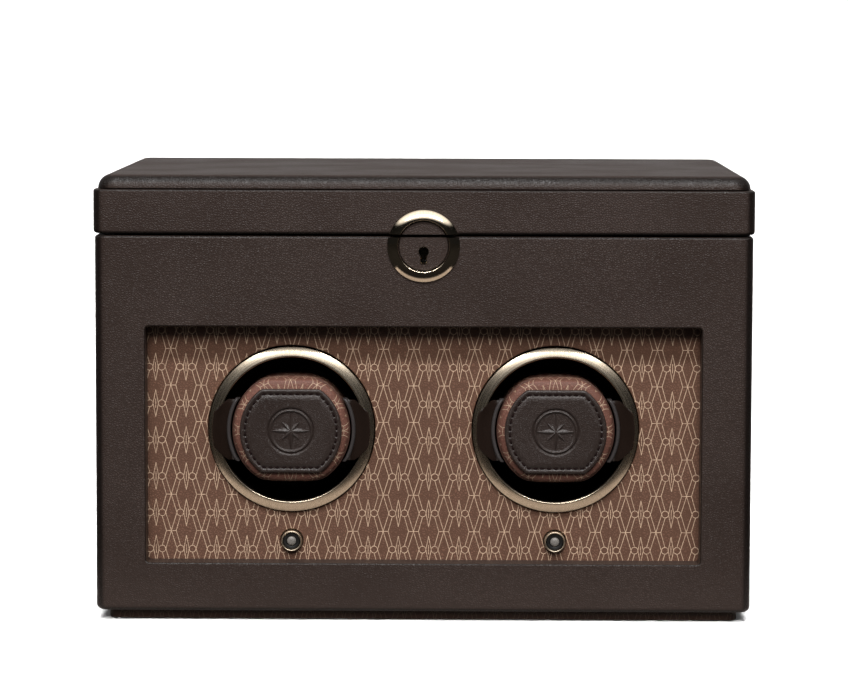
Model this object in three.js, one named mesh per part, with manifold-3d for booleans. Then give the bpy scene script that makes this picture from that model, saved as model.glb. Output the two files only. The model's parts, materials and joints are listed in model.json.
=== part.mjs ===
// A double watch winder box with a lockable storage lid, as a three.js scene graph.
// Millimetres, +Z up, front towards -Y. The origin is on the floor under the middle of the box.
// Every named mesh is one closed body. manifold-3d only joins and cuts what three.js shapes make.
import * as THREE from "three";
import { mergeVertices } from "three/addons/utils/BufferGeometryUtils.js";
import Module from "manifold-3d";

const wasm = await Module();
wasm.setup();

// ---- driving dimensions -------------------------------------------------------------------

const GAP = 0.3; // air left between pieces that touch
const PAST = 5; // how far a cutting tool runs past the face it cuts
const BITE = 1; // the same where there is little room, and how far joined shapes overlap
const SUNK = 0.1; // how far the parts on a circuit board sink into it
const WELD = 1e-4; // points nearer than this are one point

const CASE = { w: 318, d: 216, bottom: 4.8, top: 187.4, wall: 12, corner: 6.5 };
const PLINTH = { inset: 6, corner: 5 };
const FLOOR_T = 8;
const FRONT_T = 12.7;
const WINDOW = { w: 268.8, bottom: 28.5, top: 143.6 };

const PANEL = { recess: 13, t: 3, w: 284, bottom: 20, top: 146 };
const STORAGE = { floorBottom: 146.4, floorTop: 150, lip: 3.5, lining: 3 };
const DIVIDER = { t: 4, top: 178, longY: 10, shortX: 48 };
const PILLOW = { w: 78, d: 66, h: 46, pitch: 96.5, y: -42, edge: 4, squareness: 0.7 };

const LID = { w: 319.2, d: 217.2, bottom: 188.4, bandTop: 209.6, top: 216.6, wall: 12, innerCorner: 2 };
const CAP = { inset: 2, round: 6.5, corner: 8, straight: 1 };
const LID_LINING = { bottom: 205.6 };

const HINGE = { x: 95, w: 34, y: 109.3, z: 187.9, barrelR: 2.2, boreR: 1.2, room: 0.5 };
const HINGE_PIN = { r: 0.9, headR: 1.6, headT: 0.6 };
const LEAF = { t: 1.2, reach: 98, offset: 0.7, knuckle: 11, split: 0.5 };

const MEDAL = { z: 183, outerR: 17.5, innerR: 12.4, frontY: -111.5, discT: 1, seamGap: 0.2 };
const MEDAL_EDGE = { lip: 0.4, crest: 1.4, crestFall: 0.2, fall: 2.4 };
const KEYHOLE = { z: 180.3, r: 2.5, slotHalf: 1.55, slotBottom: 174.4 };
const LOCK_POCKET = { x0: -16, x1: 18, depth: 3, z0: 168 };
const LOCK_ROOM = { x0: -8, x1: 15.5, front: 1.2, back: 1.4, z0: 171 };
const ROTOR = { headR: 4.6, headT: 1.7, stemR: 2.5, clearance: 1.5 };
const KEY_SOCKET = { r: 2.3, bitHalf: 1.2, depth: 1.1, pinR: 0.8 };
const HOOK = { hubR: 5, boreR: 2.8, innerR: 10, outerR: 13, y0: -101.1, y1: -99.5 };
const HOOK_ANGLES = { from: -35, armTo: -20, clawTo: 0 };
const STRIKE = { x0: -12, x1: 17, y0: -105, y1: -96.9, z0: 188.5, z1: 189.4 };
const HOOK_SLOT = { x0: 2, x1: 11.6, y0: -104, y1: -97.9 };
const HOOK_ROOM = { x0: -2, x1: 12.6, top: 194.5 };

const DRUM = { x: 64.2, z: 92.7, mouthY: -94.1, backY: -36, outerR: 39.3, wall: 1.8 };
const RING = { outerR: 40.2, innerR: 35.4, depth: 4.6, frontY: -99 };
const RING_EDGE = { lip: 0.5, lipFall: 0.8, crest: 1.3, fall: 2.1 };
const PANEL_HOLE_R = 40.8;
const ROUND = 36; // sides of a large turned part
const SMALL = 16; // sides of a small one
const TINY = 12; // sides of a pin or a foot
const STEPS = { plan: 4, front: 6, hook: 4, capRound: 4, capCorner: 3, soft: 2, oval: 24 }; // per curve

const GEAR = { module: 1.5, drumTeeth: 30, pinionTeeth: 10, y0: -33, y1: -28, boreR: 3.3 };
const GEAR_SHAPE = { pressureAngle: 20, addendum: 0.8, dedendum: 1.2, thinned: 0.84 };
const PINION_PROUD = 0.5; // how far the pinion runs past the drum gear at each face
const GEAR_CENTRES = (GEAR.module * (GEAR.drumTeeth + GEAR.pinionTeeth)) / 2;
const BULKHEAD = { y0: -24, y1: -16, bushHoleR: 6.4, motorHoleR: 3 };
const HUB = { r: 9, sleeveR: 6.4, length: 11, web: 4, floor: 2.4, bossR: 8, boss: 1.2 };
const SHAFT = { r: 3, start: 1.5 };
const CLIP = { r: 5, start: 2.8, end: 4.5 };
const BUSH = { r: 6.1, flangeR: 9, proud: 2.5 };
const MOTOR = { gearboxR: 12.5, gearboxEnd: 13.7, canR: 10, canEnd: 39.7, capR: 3, capEnd: 41.7 };
const SPINDLE = { r: 1.2, socketR: 1.5, socketDepth: 5.7, length: 5 };

const CUFF = { r: 29.2, half: 25, frontY: -103.6, backY: -54.5, edge: 4 };
const CUFF_FACE = { r: 24.75, half: 20.4, frontY: -106 };
const YOKE = {
  half: 14.4, innerR: 29.6, outerR: 31.2, plateY0: -54.2, plateY1: -52.2, stemR: 6, stemEnd: -41,
};
// The section of a yoke's wing, as [radius, y] from the yoke's inner face round to its outer one.
const WING = [
  [29.6, -100.3], [30.4, -101], [32.6, -99.9], [34.4, -100.1], [36.6, -101.4], [38.2, -101.1],
  [38.4, -100], [35, -99.4], [34.4, -97.9], [31.2, -97.6],
];

const BUTTON = { z: 37.8, holeR: 5.6 };
const BEZEL = { innerR: 4.3, outerR: 5, flangeR: 8, flangeT: 1.2, crestY: -98.5, roll: 0.3 };
const KEYCAP = { r: 4, wellR: 2.55, wellY: -96.4, faceY: -97.8, edge: 0.4, collarR: 5.5, collarY: -90.2 };
const KEY_STEM = { r: 2, start: -89, end: -85.4 };
const LENS = { r: 2.25, frontY: -98.4, edgeY: -97, backY: -96.7, domeAngles: [0, 30, 60] };

const CONTROL = { half: 40, z0: 20, z1: 60, standoff: 3.5, t: 1.6, footR: 2, footInset: 4 };
const CHIP = { x0: -12, x1: 2, z0: 34, z1: 48, proud: 2.1 };
const CAPACITOR = { r: 4, x: 18, z: 44, proud: 10.9 };
const CONNECTOR = { x0: -34, x1: -22, z0: 24, z1: 36, proud: 6.9 };
const SWITCHES = { half: 80, z0: 30, z1: 44, y0: -82, t: 1.6, side: 6, bodyY: -84.3, postX: 20, postR: 2.5 };
const JACK = { x: 118, z: 24, holeR: 6.3, bodyR: 6, bodyY: 92, flangeR: 8, flangeT: 1.2 };
const JACK_SOCKET = { r: 3.2, floorY: 98, pinR: 1, pinEnd: 107 };

// ---- shapes and solids --------------------------------------------------------------------

// A three.js geometry as a manifold-3d solid, whichever way its faces point.
function solid(geometry) {
  const bare = geometry.index ? geometry.toNonIndexed() : geometry.clone();
  bare.deleteAttribute("normal");
  bare.deleteAttribute("uv");
  const merged = mergeVertices(bare, WELD);
  const points = merged.getAttribute("position").array;
  const kept = [];
  const index = merged.index.array;
  for (let i = 0; i < index.length; i += 3) {
    const [a, b, c] = [index[i], index[i + 1], index[i + 2]];
    if (a !== b && b !== c && c !== a) kept.push(a, b, c);
  }
  const build = (triangles) =>
    new wasm.Manifold(
      new wasm.Mesh({ numProp: 3, vertProperties: points, triVerts: new Uint32Array(triangles) }),
    );
  const made = build(kept);
  return made.volume() < 0 ? build(kept.reverse()) : made;
}

// A solid's vertices and triangles as a three.js geometry.
function geometryOf(body) {
  const mesh = body.getMesh();
  const positions = new Float32Array(mesh.numVert * 3);
  for (let i = 0; i < mesh.numVert; i++) {
    const start = i * mesh.numProp;
    positions.set(mesh.vertProperties.subarray(start, start + 3), i * 3);
  }
  const geometry = new THREE.BufferGeometry();
  geometry.setAttribute("position", new THREE.BufferAttribute(positions, 3));
  geometry.setIndex(new THREE.BufferAttribute(mesh.triVerts, 1));
  const faceted = geometry.toNonIndexed();
  faceted.computeVertexNormals();
  return faceted;
}

// A box between two corners.
function box(x0, x1, y0, y1, z0, z1) {
  const geometry = new THREE.BoxGeometry(x1 - x0, y1 - y0, z1 - z0);
  geometry.translate((x0 + x1) / 2, (y0 + y1) / 2, (z0 + z1) / 2);
  return solid(geometry);
}

// A rectangle with round corners, centred on the origin.
function roundedRect(w, d, r) {
  const [x, y] = [w / 2, d / 2];
  const shape = new THREE.Shape();
  shape.moveTo(-x + r, -y);
  shape.lineTo(x - r, -y);
  shape.absarc(x - r, -y + r, r, -Math.PI / 2, 0);
  shape.lineTo(x, y - r);
  shape.absarc(x - r, y - r, r, 0, Math.PI / 2);
  shape.lineTo(-x + r, y);
  shape.absarc(-x + r, y - r, r, Math.PI / 2, Math.PI);
  shape.lineTo(-x, -y + r);
  shape.absarc(-x + r, -y + r, r, Math.PI, 1.5 * Math.PI);
  return shape;
}

// A plan shape raised from z0 to z1.
function raised(shape, z0, z1) {
  const options = { depth: z1 - z0, bevelEnabled: false, curveSegments: STEPS.plan };
  const geometry = new THREE.ExtrudeGeometry(shape, options);
  geometry.translate(0, 0, z0);
  return solid(geometry);
}

// A front-view shape, drawn in x and z, given depth from y0 back to y1.
function deepened(shape, y0, y1, options = {}) {
  const settings = { depth: y1 - y0, bevelEnabled: false, curveSegments: STEPS.front, ...options };
  const geometry = new THREE.ExtrudeGeometry(shape, settings);
  geometry.rotateX(Math.PI / 2);
  geometry.translate(0, y1, 0);
  return solid(geometry);
}

// A profile of [radius, y] points turned about the front-to-back line through x, z.
function turned(profile, x = 0, z = 0, sides = ROUND) {
  const points = profile.map(([r, y]) => new THREE.Vector2(r, y));
  const geometry = new THREE.LatheGeometry(points, sides);
  geometry.translate(x, 0, z);
  return solid(geometry);
}

// The same, for a ring whose profile closes on itself.
function turnedRing(profile, x, z, sides = ROUND) {
  return turned([...profile, profile[0]], x, z, sides);
}

// A round bar along x, between x0 and x1.
function bar(r, x0, x1, y, z, sides = SMALL) {
  const geometry = new THREE.CylinderGeometry(r, r, x1 - x0, sides);
  geometry.rotateZ(Math.PI / 2);
  geometry.translate((x0 + x1) / 2, y, z);
  return solid(geometry);
}

// A round bar along y, between y0 and y1.
function post(r, y0, y1, x, z, sides = SMALL) {
  return turned([[0, y0], [r, y0], [r, y1], [0, y1]], x, z, sides);
}

const join = (first, ...others) => others.reduce((sum, next) => sum.add(next), first);
const cut = (first, ...tools) => tools.reduce((rest, tool) => rest.subtract(tool), first);

// ---- materials ----------------------------------------------------------------------------

const finish = (color, roughness, metalness = 0) => ({ color, roughness, metalness });
const FINISHES = {
  leather: finish(0x3a302d, 0.55),
  pattern: finish(0x6a4c40, 0.6),
  lining: finish(0x4a362f, 0.9),
  champagne: finish(0xb59a76, 0.28, 1),
  blackPlastic: finish(0x0c0b0b, 0.5),
  brownPlastic: finish(0x261c18, 0.35),
  steel: finish(0xa8a8aa, 0.35, 1),
  brass: finish(0xb08a4a, 0.35, 1),
  acetal: finish(0xe4e0d4, 0.5),
  board: finish(0x1f4a30, 0.6),
  wood: finish(0x8a6a48, 0.7),
  lens: finish(0xd9d5cf, 0.25),
};

const winder = new THREE.Group();
winder.name = "watch_winder_box";

// Adds one piece of the object to its group as a named mesh.
function piece(name, body, look) {
  const material = new THREE.MeshStandardMaterial(FINISHES[look]);
  const mesh = new THREE.Mesh(geometryOf(body), material);
  mesh.name = name;
  winder.add(mesh);
}

// ---- case ---------------------------------------------------------------------------------

const frontY = -CASE.d / 2;
const backY = CASE.d / 2;
const panelY = frontY + PANEL.recess;
const innerX = CASE.w / 2 - CASE.wall;
const innerFrontY = frontY + FRONT_T;
const innerBackY = backY - CASE.wall;
const HINGE_SIDES = [["left", -1], ["right", 1]];

// The part of the case's rounded outline between two depths: a full-width front or back wall.
function wallBetween(y0, y1) {
  const outline = raised(roundedRect(CASE.w, CASE.d, CASE.corner), CASE.bottom, CASE.top);
  return outline.intersect(box(-CASE.w, CASE.w, y0, y1, 0, CASE.top + PAST));
}

// The key's way in: a round hole over a slot.
function keyway(y0, y1) {
  const slot = box(
    -KEYHOLE.slotHalf, KEYHOLE.slotHalf, y0, y1, KEYHOLE.slotBottom, KEYHOLE.z,
  );
  return post(KEYHOLE.r, y0, y1, 0, KEYHOLE.z).add(slot);
}

// What the two hinges cut out of the wall they are let into.
function hingeMortises(z0, z1) {
  const half = HINGE.w / 2 + GAP;
  const headRoom = HINGE_PIN.headT + 2 * GAP;
  const cuts = HINGE_SIDES.flatMap(([, side]) => {
    const x = side * HINGE.x;
    return [
      box(x - half, x + half, LEAF.reach - GAP, HINGE.y, z0, z1),
      bar(HINGE.barrelR + HINGE.room, x - half - headRoom, x + half + headRoom, HINGE.y, HINGE.z),
    ];
  });
  return join(...cuts);
}

function makeCase() {
  const plinth = roundedRect(
    CASE.w - 2 * PLINTH.inset, CASE.d - 2 * PLINTH.inset, PLINTH.corner,
  );
  piece("base_plinth", raised(plinth, 0, CASE.bottom - GAP), "pattern");

  const inX = innerX - GAP;
  const floorTop = CASE.bottom + FLOOR_T;
  const [inFront, inBack] = [innerFrontY + GAP, innerBackY - GAP];
  piece("bottom_board", box(-inX, inX, inFront, inBack, CASE.bottom, floorTop), "wood");

  const windowCut = box(
    -WINDOW.w / 2, WINDOW.w / 2, frontY - PAST, innerFrontY + PAST, WINDOW.bottom, WINDOW.top,
  );
  const pocket = box(
    LOCK_POCKET.x0, LOCK_POCKET.x1, frontY + LOCK_POCKET.depth, innerFrontY + PAST,
    LOCK_POCKET.z0, CASE.top + PAST,
  );
  const frame = wallBetween(frontY - PAST, innerFrontY);
  piece("front_frame", cut(frame, windowCut, pocket, keyway(frontY - PAST, frontY + PAST)), "leather");

  for (const [name, side] of [["side_left", -1], ["side_right", 1]]) {
    const [a, b] = [side * innerX, (side * CASE.w) / 2].sort((p, q) => p - q);
    piece(name, box(a, b, inFront, inBack, CASE.bottom, CASE.top), "leather");
  }

  const jackHole = post(JACK.holeR, innerBackY - PAST, backY + PAST, JACK.x, JACK.z);
  const leafTop = CASE.top + PAST;
  const leafBed = HINGE.z - LEAF.offset - LEAF.t - GAP;
  const back = cut(wallBetween(innerBackY, backY + PAST), jackHole, hingeMortises(leafBed, leafTop));
  piece("back_board", back, "leather");

  const shelf = box(-inX, inX, inFront, inBack, STORAGE.floorBottom, STORAGE.floorTop);
  piece("storage_floor", shelf, "wood");

  const holes = [-1, 1].flatMap((side) => {
    const [y0, y1] = [BULKHEAD.y0 - PAST, BULKHEAD.y1 + PAST];
    const motorX = side * (DRUM.x - GEAR_CENTRES);
    return [
      post(BULKHEAD.bushHoleR, y0, y1, side * DRUM.x, DRUM.z),
      post(BULKHEAD.motorHoleR, y0, y1, motorX, DRUM.z),
    ];
  });
  const bulkhead = box(
    -inX, inX, BULKHEAD.y0, BULKHEAD.y1, floorTop + GAP, STORAGE.floorBottom - GAP,
  );
  piece("bulkhead", cut(bulkhead, ...holes), "wood");
}

function makePanel() {
  const [y0, y1] = [panelY, panelY + PANEL.t];
  const sheet = box(-PANEL.w / 2, PANEL.w / 2, y0, y1, PANEL.bottom, PANEL.top);
  const holes = [-1, 1].flatMap((side) => [
    post(PANEL_HOLE_R, y0 - PAST, y1 + PAST, side * DRUM.x, DRUM.z, ROUND),
    post(BUTTON.holeR, y0 - PAST, y1 + PAST, side * DRUM.x, BUTTON.z),
  ]);
  piece("module_panel", cut(sheet, ...holes), "pattern");
}

// ---- storage under the lid ----------------------------------------------------------------

function makeStorage() {
  const z0 = STORAGE.floorTop + GAP;
  const [x1, y0, y1] = [innerX - 2 * GAP, innerFrontY + GAP, innerBackY - 2 * GAP];
  const t = STORAGE.lining;
  const outer = box(-x1, x1, y0, y1, z0, CASE.top + STORAGE.lip);
  const inner = box(-x1 + t, x1 - t, y0 + t, y1 - t, z0 - PAST, CASE.top + PAST);
  piece("tray_liner", cut(outer, inner), "lining");

  const half = DIVIDER.t / 2;
  const [inX, inY] = [x1 - t - GAP, y0 + t + GAP];
  const long = box(-inX, inX, DIVIDER.longY - half, DIVIDER.longY + half, z0, DIVIDER.top);
  const short = [-1, 1].map((side) => {
    const x = side * DIVIDER.shortX;
    return box(x - half, x + half, inY, DIVIDER.longY, z0, DIVIDER.top);
  });
  piece("tray_dividers", join(long, ...short), "lining");

  // A watch pillow is a fat oval roll lying across its compartment.
  for (const [name, place] of [["pillow_left", -1], ["pillow_middle", 0], ["pillow_right", 1]]) {
    const oval = new THREE.Shape();
    for (let i = 0; i < STEPS.oval; i++) {
      const a = (2 * Math.PI * i) / STEPS.oval;
      const squared = (v) => Math.sign(v) * Math.abs(v) ** PILLOW.squareness;
      const [u, v] = [(PILLOW.d / 2) * squared(Math.cos(a)), (PILLOW.h / 2) * squared(Math.sin(a))];
      if (i === 0) oval.moveTo(u, v);
      else oval.lineTo(u, v);
    }
    const { edge } = PILLOW;
    const roll = new THREE.ExtrudeGeometry(oval, {
      depth: PILLOW.w - 2 * edge, bevelEnabled: true, bevelThickness: edge, bevelSize: edge,
      bevelOffset: -edge, bevelSegments: STEPS.soft,
    });
    roll.rotateX(Math.PI / 2);
    roll.rotateZ(Math.PI / 2);
    roll.translate(place * PILLOW.pitch - PILLOW.w / 2 + edge, PILLOW.y, z0 + PILLOW.h / 2);
    piece(name, solid(roll), "pattern");
  }
}

// ---- lid ----------------------------------------------------------------------------------

function makeLid() {
  const wall = 2 * LID.wall;
  const outer = raised(roundedRect(LID.w, LID.d, CASE.corner), LID.bottom, LID.bandTop);
  const inner = raised(
    roundedRect(LID.w - wall, LID.d - wall, LID.innerCorner), LID.bottom - PAST, LID.bandTop + PAST,
  );
  const strikeBed = box(
    STRIKE.x0 - GAP, STRIKE.x1 + GAP, STRIKE.y0 - GAP, STRIKE.y1 + BITE,
    LID.bottom - PAST, STRIKE.z1 + GAP,
  );
  const hookRoom = box(
    HOOK_ROOM.x0, HOOK_ROOM.x1, HOOK_SLOT.y0, HOOK_SLOT.y1, LID.bottom, HOOK_ROOM.top,
  );
  const leafBed = HINGE.z + LEAF.offset + LEAF.t + GAP;
  const band = cut(outer, inner, strikeBed, hookRoom, hingeMortises(LID.bottom - PAST, leafBed));
  piece("lid_band", band, "leather");

  const [w, d] = [LID.w - 2 * CAP.inset, LID.d - 2 * CAP.inset];
  const edge = {
    depth: CAP.straight, bevelEnabled: true, bevelThickness: CAP.round, bevelSize: CAP.round,
    bevelOffset: -CAP.round, bevelSegments: STEPS.capRound, curveSegments: STEPS.capCorner,
  };
  const dome = new THREE.ExtrudeGeometry(roundedRect(w, d, CAP.corner), edge);
  dome.translate(0, 0, LID.top - CAP.round - CAP.straight);
  const below = box(-LID.w, LID.w, -LID.d, LID.d, 0, LID.bandTop + GAP);
  piece("lid_top", cut(solid(dome), below), "leather");

  const [x, y] = [(LID.w - wall) / 2 - 2 * GAP, (LID.d - wall) / 2 - 2 * GAP];
  piece("lid_lining", box(-x, x, -y, y, LID_LINING.bottom, LID.bandTop), "lining");

  const plate = box(STRIKE.x0, STRIKE.x1, STRIKE.y0, STRIKE.y1, STRIKE.z0, STRIKE.z1);
  const slot = box(
    HOOK_SLOT.x0, HOOK_SLOT.x1, HOOK_SLOT.y0, HOOK_SLOT.y1, STRIKE.z0 - PAST, STRIKE.z1 + PAST,
  );
  piece("strike_plate", cut(plate, slot), "steel");
}

// Two let-in hinges. The case leaf carries the middle knuckle, the lid leaf the outer two.
function makeHinges() {
  const half = HINGE.w / 2;
  const middle = LEAF.knuckle / 2;
  const plateEnd = HINGE.y - HINGE.barrelR - GAP;
  const caseZ = HINGE.z - LEAF.offset - LEAF.t;
  const lidZ = HINGE.z + LEAF.offset;
  const knuckle = (x0, x1, z0) => {
    const barrel = bar(HINGE.barrelR, x0, x1, HINGE.y, HINGE.z);
    const tongue = box(x0, x1, plateEnd - BITE, HINGE.y, z0, z0 + LEAF.t);
    return cut(join(barrel, tongue), bar(HINGE.boreR, x0 - PAST, x1 + PAST, HINGE.y, HINGE.z));
  };
  for (const [name, side] of HINGE_SIDES) {
    const x = side * HINGE.x;
    const plate = (z0) => box(x - half, x + half, LEAF.reach, plateEnd, z0, z0 + LEAF.t);
    const caseLeaf = join(plate(caseZ), knuckle(x - middle, x + middle, caseZ));
    const lidLeaf = join(
      plate(lidZ),
      knuckle(x - half, x - middle - LEAF.split, lidZ),
      knuckle(x + middle + LEAF.split, x + half, lidZ),
    );
    piece("hinge_case_leaf_" + name, caseLeaf, "brass");
    piece("hinge_lid_leaf_" + name, lidLeaf, "brass");

    const end = half + GAP;
    const head = (x0) => bar(HINGE_PIN.headR, x0, x0 + HINGE_PIN.headT, HINGE.y, HINGE.z);
    const shank = bar(HINGE_PIN.r, x - end, x + end, HINGE.y, HINGE.z);
    piece("hinge_pin_" + name, join(shank, head(x - end - HINGE_PIN.headT), head(x + end)), "steel");
  }
}

// ---- lock ---------------------------------------------------------------------------------

// The round escutcheon is split by the lid's seam: ring and disc each have a lower and an upper part.
function makeMedallion() {
  const { outerR: R, innerR: r, frontY: y } = MEDAL;
  const { lip, crest, crestFall, fall } = MEDAL_EDGE;
  const within = R + BITE;
  const parts = [
    ["lower", frontY - GAP, box(-within, within, y - BITE, 0, 0, CASE.top - MEDAL.seamGap)],
    ["upper", -LID.d / 2 - GAP, box(-within, within, y - BITE, 0, LID.bottom + MEDAL.seamGap, LID.top)],
  ];
  for (const [name, back, half] of parts) {
    const profile = [
      [r, back], [r, y + lip], [r + lip, y], [r + crest, y + crestFall], [R, y + fall], [R, back],
    ];
    piece("medallion_ring_" + name, turnedRing(profile, 0, MEDAL.z).intersect(half), "champagne");
    const disc = post(r - GAP, back - MEDAL.discT, back, 0, MEDAL.z, ROUND).intersect(half);
    piece("medallion_disc_" + name, cut(disc, keyway(y, 0)), "leather");
  }
}

// The part of a ring about the keyhole between two radii and two angles, as a flat plate.
function sector(r0, r1, from, to) {
  const [a, b] = [from, to].map(THREE.MathUtils.degToRad);
  const shape = new THREE.Shape();
  shape.moveTo(r0 * Math.cos(a), r0 * Math.sin(a));
  shape.lineTo(r1 * Math.cos(a), r1 * Math.sin(a));
  shape.absarc(0, 0, r1, a, b);
  shape.lineTo(r0 * Math.cos(b), r0 * Math.sin(b));
  shape.absarc(0, 0, r0, b, a, true);
  return deepened(shape, HOOK.y0, HOOK.y1, { curveSegments: STEPS.hook }).translate([0, 0, KEYHOLE.z]);
}

function makeLock() {
  const { x0, x1, depth, z0 } = LOCK_POCKET;
  const [front, back] = [frontY + depth + GAP, innerFrontY - GAP];
  const body = box(x0 + GAP, x1 - GAP, front, back, z0 + GAP, CASE.top - GAP);
  const room = box(
    LOCK_ROOM.x0, LOCK_ROOM.x1, front + LOCK_ROOM.front, back - LOCK_ROOM.back,
    LOCK_ROOM.z0, CASE.top + PAST,
  );
  const entry = keyway(front - BITE, front + LOCK_ROOM.front + BITE);
  piece("lock_case", cut(body, room, entry), "steel");

  const rotorFront = front + ROTOR.clearance;
  const rotorBack = back - LOCK_ROOM.back - GAP;
  const shoulder = rotorFront + ROTOR.headT;
  const rotorProfile = [
    [0, rotorFront], [ROTOR.headR, rotorFront], [ROTOR.headR, shoulder], [ROTOR.stemR, shoulder],
    [ROTOR.stemR, rotorBack], [0, rotorBack],
  ];
  const rotor = turned(rotorProfile, 0, KEYHOLE.z, SMALL);
  const { r, bitHalf, depth: socketDepth, pinR } = KEY_SOCKET;
  const [y0, y1] = [rotorFront - BITE, rotorFront + socketDepth];
  const socket = join(
    post(r, y0, y1, 0, KEYHOLE.z),
    box(-bitHalf, bitHalf, y0, y1, KEYHOLE.z - PAST, KEYHOLE.z),
  );
  const keyPin = post(pinR, y0 - BITE, y1 + BITE, 0, KEYHOLE.z, TINY);
  piece("lock_rotor", cut(rotor, cut(socket, keyPin)), "brass");

  const { from, armTo, clawTo } = HOOK_ANGLES;
  const hub = post(HOOK.hubR, HOOK.y0, HOOK.y1, 0, KEYHOLE.z);
  const arm = sector(HOOK.hubR - BITE, HOOK.outerR, from, armTo);
  const claw = sector(HOOK.innerR, HOOK.outerR, from, clawTo);
  const bore = post(HOOK.boreR, HOOK.y0 - BITE, HOOK.y1 + BITE, 0, KEYHOLE.z);
  piece("lock_hook", cut(join(hub, arm, claw), bore), "steel");
}

// ---- winding modules ----------------------------------------------------------------------

// A spur gear's outline with involute flanks, thinned a little so that it runs freely.
function gearOutline(teeth, turnDeg) {
  const pitchR = (GEAR.module * teeth) / 2;
  const baseR = pitchR * Math.cos(THREE.MathUtils.degToRad(GEAR_SHAPE.pressureAngle));
  const rootR = pitchR - GEAR_SHAPE.dedendum * GEAR.module;
  const tipR = pitchR + GEAR_SHAPE.addendum * GEAR.module;
  const involute = (r) => {
    const angle = Math.acos(Math.min(1, baseR / r));
    return Math.tan(angle) - angle;
  };
  const halfTooth = (GEAR_SHAPE.thinned * Math.PI) / (2 * teeth);
  const halfAt = (r) => halfTooth + involute(pitchR) - involute(r);
  const radii = [rootR, pitchR, tipR];
  const shape = new THREE.Shape();
  for (let i = 0; i < teeth; i++) {
    const middle = (2 * Math.PI * i) / teeth + THREE.MathUtils.degToRad(turnDeg);
    const flank = radii.map((r) => [r, middle - halfAt(r)]);
    const other = radii.map((r) => [r, middle + halfAt(r)]).reverse();
    for (const [r, a] of [...flank, ...other]) {
      const point = [r * Math.cos(a), r * Math.sin(a)];
      if (shape.curves.length === 0 && shape.currentPoint.length() === 0) shape.moveTo(...point);
      else shape.lineTo(...point);
    }
  }
  return shape;
}

// A disc with its top and bottom cut flat, in x and z.
function clippedDisc(r, half) {
  const a = Math.asin(half / r);
  const shape = new THREE.Shape();
  shape.moveTo(r * Math.cos(-a), -half);
  shape.absarc(0, 0, r, -a, a);
  shape.lineTo(-r * Math.cos(a), half);
  shape.absarc(0, 0, r, Math.PI - a, Math.PI + a);
  return shape;
}

function makeDrum(name, x) {
  const z = DRUM.z;
  const { outerR: R, innerR: r, depth, frontY: y } = RING;
  const { lip, lipFall, crest, fall } = RING_EDGE;
  const ringProfile = [
    [R, y + depth], [r, y + depth], [r, y + lipFall], [r + lip, y], [r + crest, y], [R, y + fall],
  ];
  piece("drum_ring_" + name, turnedRing(ringProfile, x, z), "champagne");

  const { mouthY, backY: rear, outerR, wall } = DRUM;
  const [hubEnd, floorY] = [rear - HUB.length, rear - HUB.floor];
  const cupProfile = [
    [0, rear + HUB.boss], [HUB.bossR, rear + HUB.boss], [HUB.bossR, rear], [outerR, rear],
    [outerR, mouthY], [outerR - wall, mouthY], [outerR - wall, floorY], [HUB.r, floorY],
    [HUB.r, hubEnd], [HUB.sleeveR, hubEnd], [HUB.sleeveR, rear - HUB.web], [0, rear - HUB.web],
  ];
  piece("drum_cup_" + name, turned(cupProfile, x, z), "blackPlastic");

  const bore = post(GEAR.boreR, GEAR.y0 - BITE, GEAR.y1 + BITE, x, z);
  const gear = deepened(gearOutline(GEAR.drumTeeth, 0), GEAR.y0, GEAR.y1).translate([x, 0, z]);
  piece("drum_gear_" + name, cut(gear, bore), "acetal");

  // The shaft ends in the retaining clip behind the bush.
  const { y0: wallY0, y1: wallY1 } = BULKHEAD;
  const start = rear + SHAFT.start;
  const [clipStart, clipEnd] = [wallY1 + CLIP.start, wallY1 + CLIP.end];
  const shaft = [
    [0, start], [SHAFT.r, start], [SHAFT.r, clipStart], [CLIP.r, clipStart], [CLIP.r, clipEnd],
    [0, clipEnd],
  ];
  piece("drum_shaft_" + name, turned(shaft, x, z, SMALL), "steel");

  const [bushFront, bushEnd] = [wallY0 - BUSH.proud, wallY1 + BUSH.proud];
  const bush = [
    [SHAFT.r + GAP, bushFront], [BUSH.flangeR, bushFront], [BUSH.flangeR, wallY0 - GAP],
    [BUSH.r, wallY0 - GAP], [BUSH.r, bushEnd], [SHAFT.r + GAP, bushEnd],
  ];
  piece("drum_bush_" + name, turnedRing(bush, x, z, SMALL), "brass");
}

// The gear motor behind the bulkhead, open at its front for the pinion's spindle.
function makeMotor(name, x) {
  const start = BULKHEAD.y1 + GAP;
  const { gearboxR, gearboxEnd, canR, canEnd, capR, capEnd } = MOTOR;
  const socketEnd = start + SPINDLE.socketDepth;
  const profile = [
    [0, socketEnd], [SPINDLE.socketR, socketEnd], [SPINDLE.socketR, start], [gearboxR, start],
    [gearboxR, start + gearboxEnd], [canR, start + gearboxEnd], [canR, start + canEnd],
    [capR, start + canEnd], [capR, start + capEnd], [0, start + capEnd],
  ];
  piece("gear_motor_" + name, turned(profile, x, DRUM.z, SMALL), "steel");

  const halfTooth = 180 / GEAR.pinionTeeth;
  const outline = gearOutline(GEAR.pinionTeeth, halfTooth);
  const teeth = deepened(outline, GEAR.y0 - PINION_PROUD, GEAR.y1 + PINION_PROUD);
  const spindle = post(SPINDLE.r, GEAR.y1, start + SPINDLE.length, 0, 0, TINY);
  piece("motor_pinion_" + name, join(teeth, spindle).translate([x, 0, DRUM.z]), "brass");
}

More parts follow.
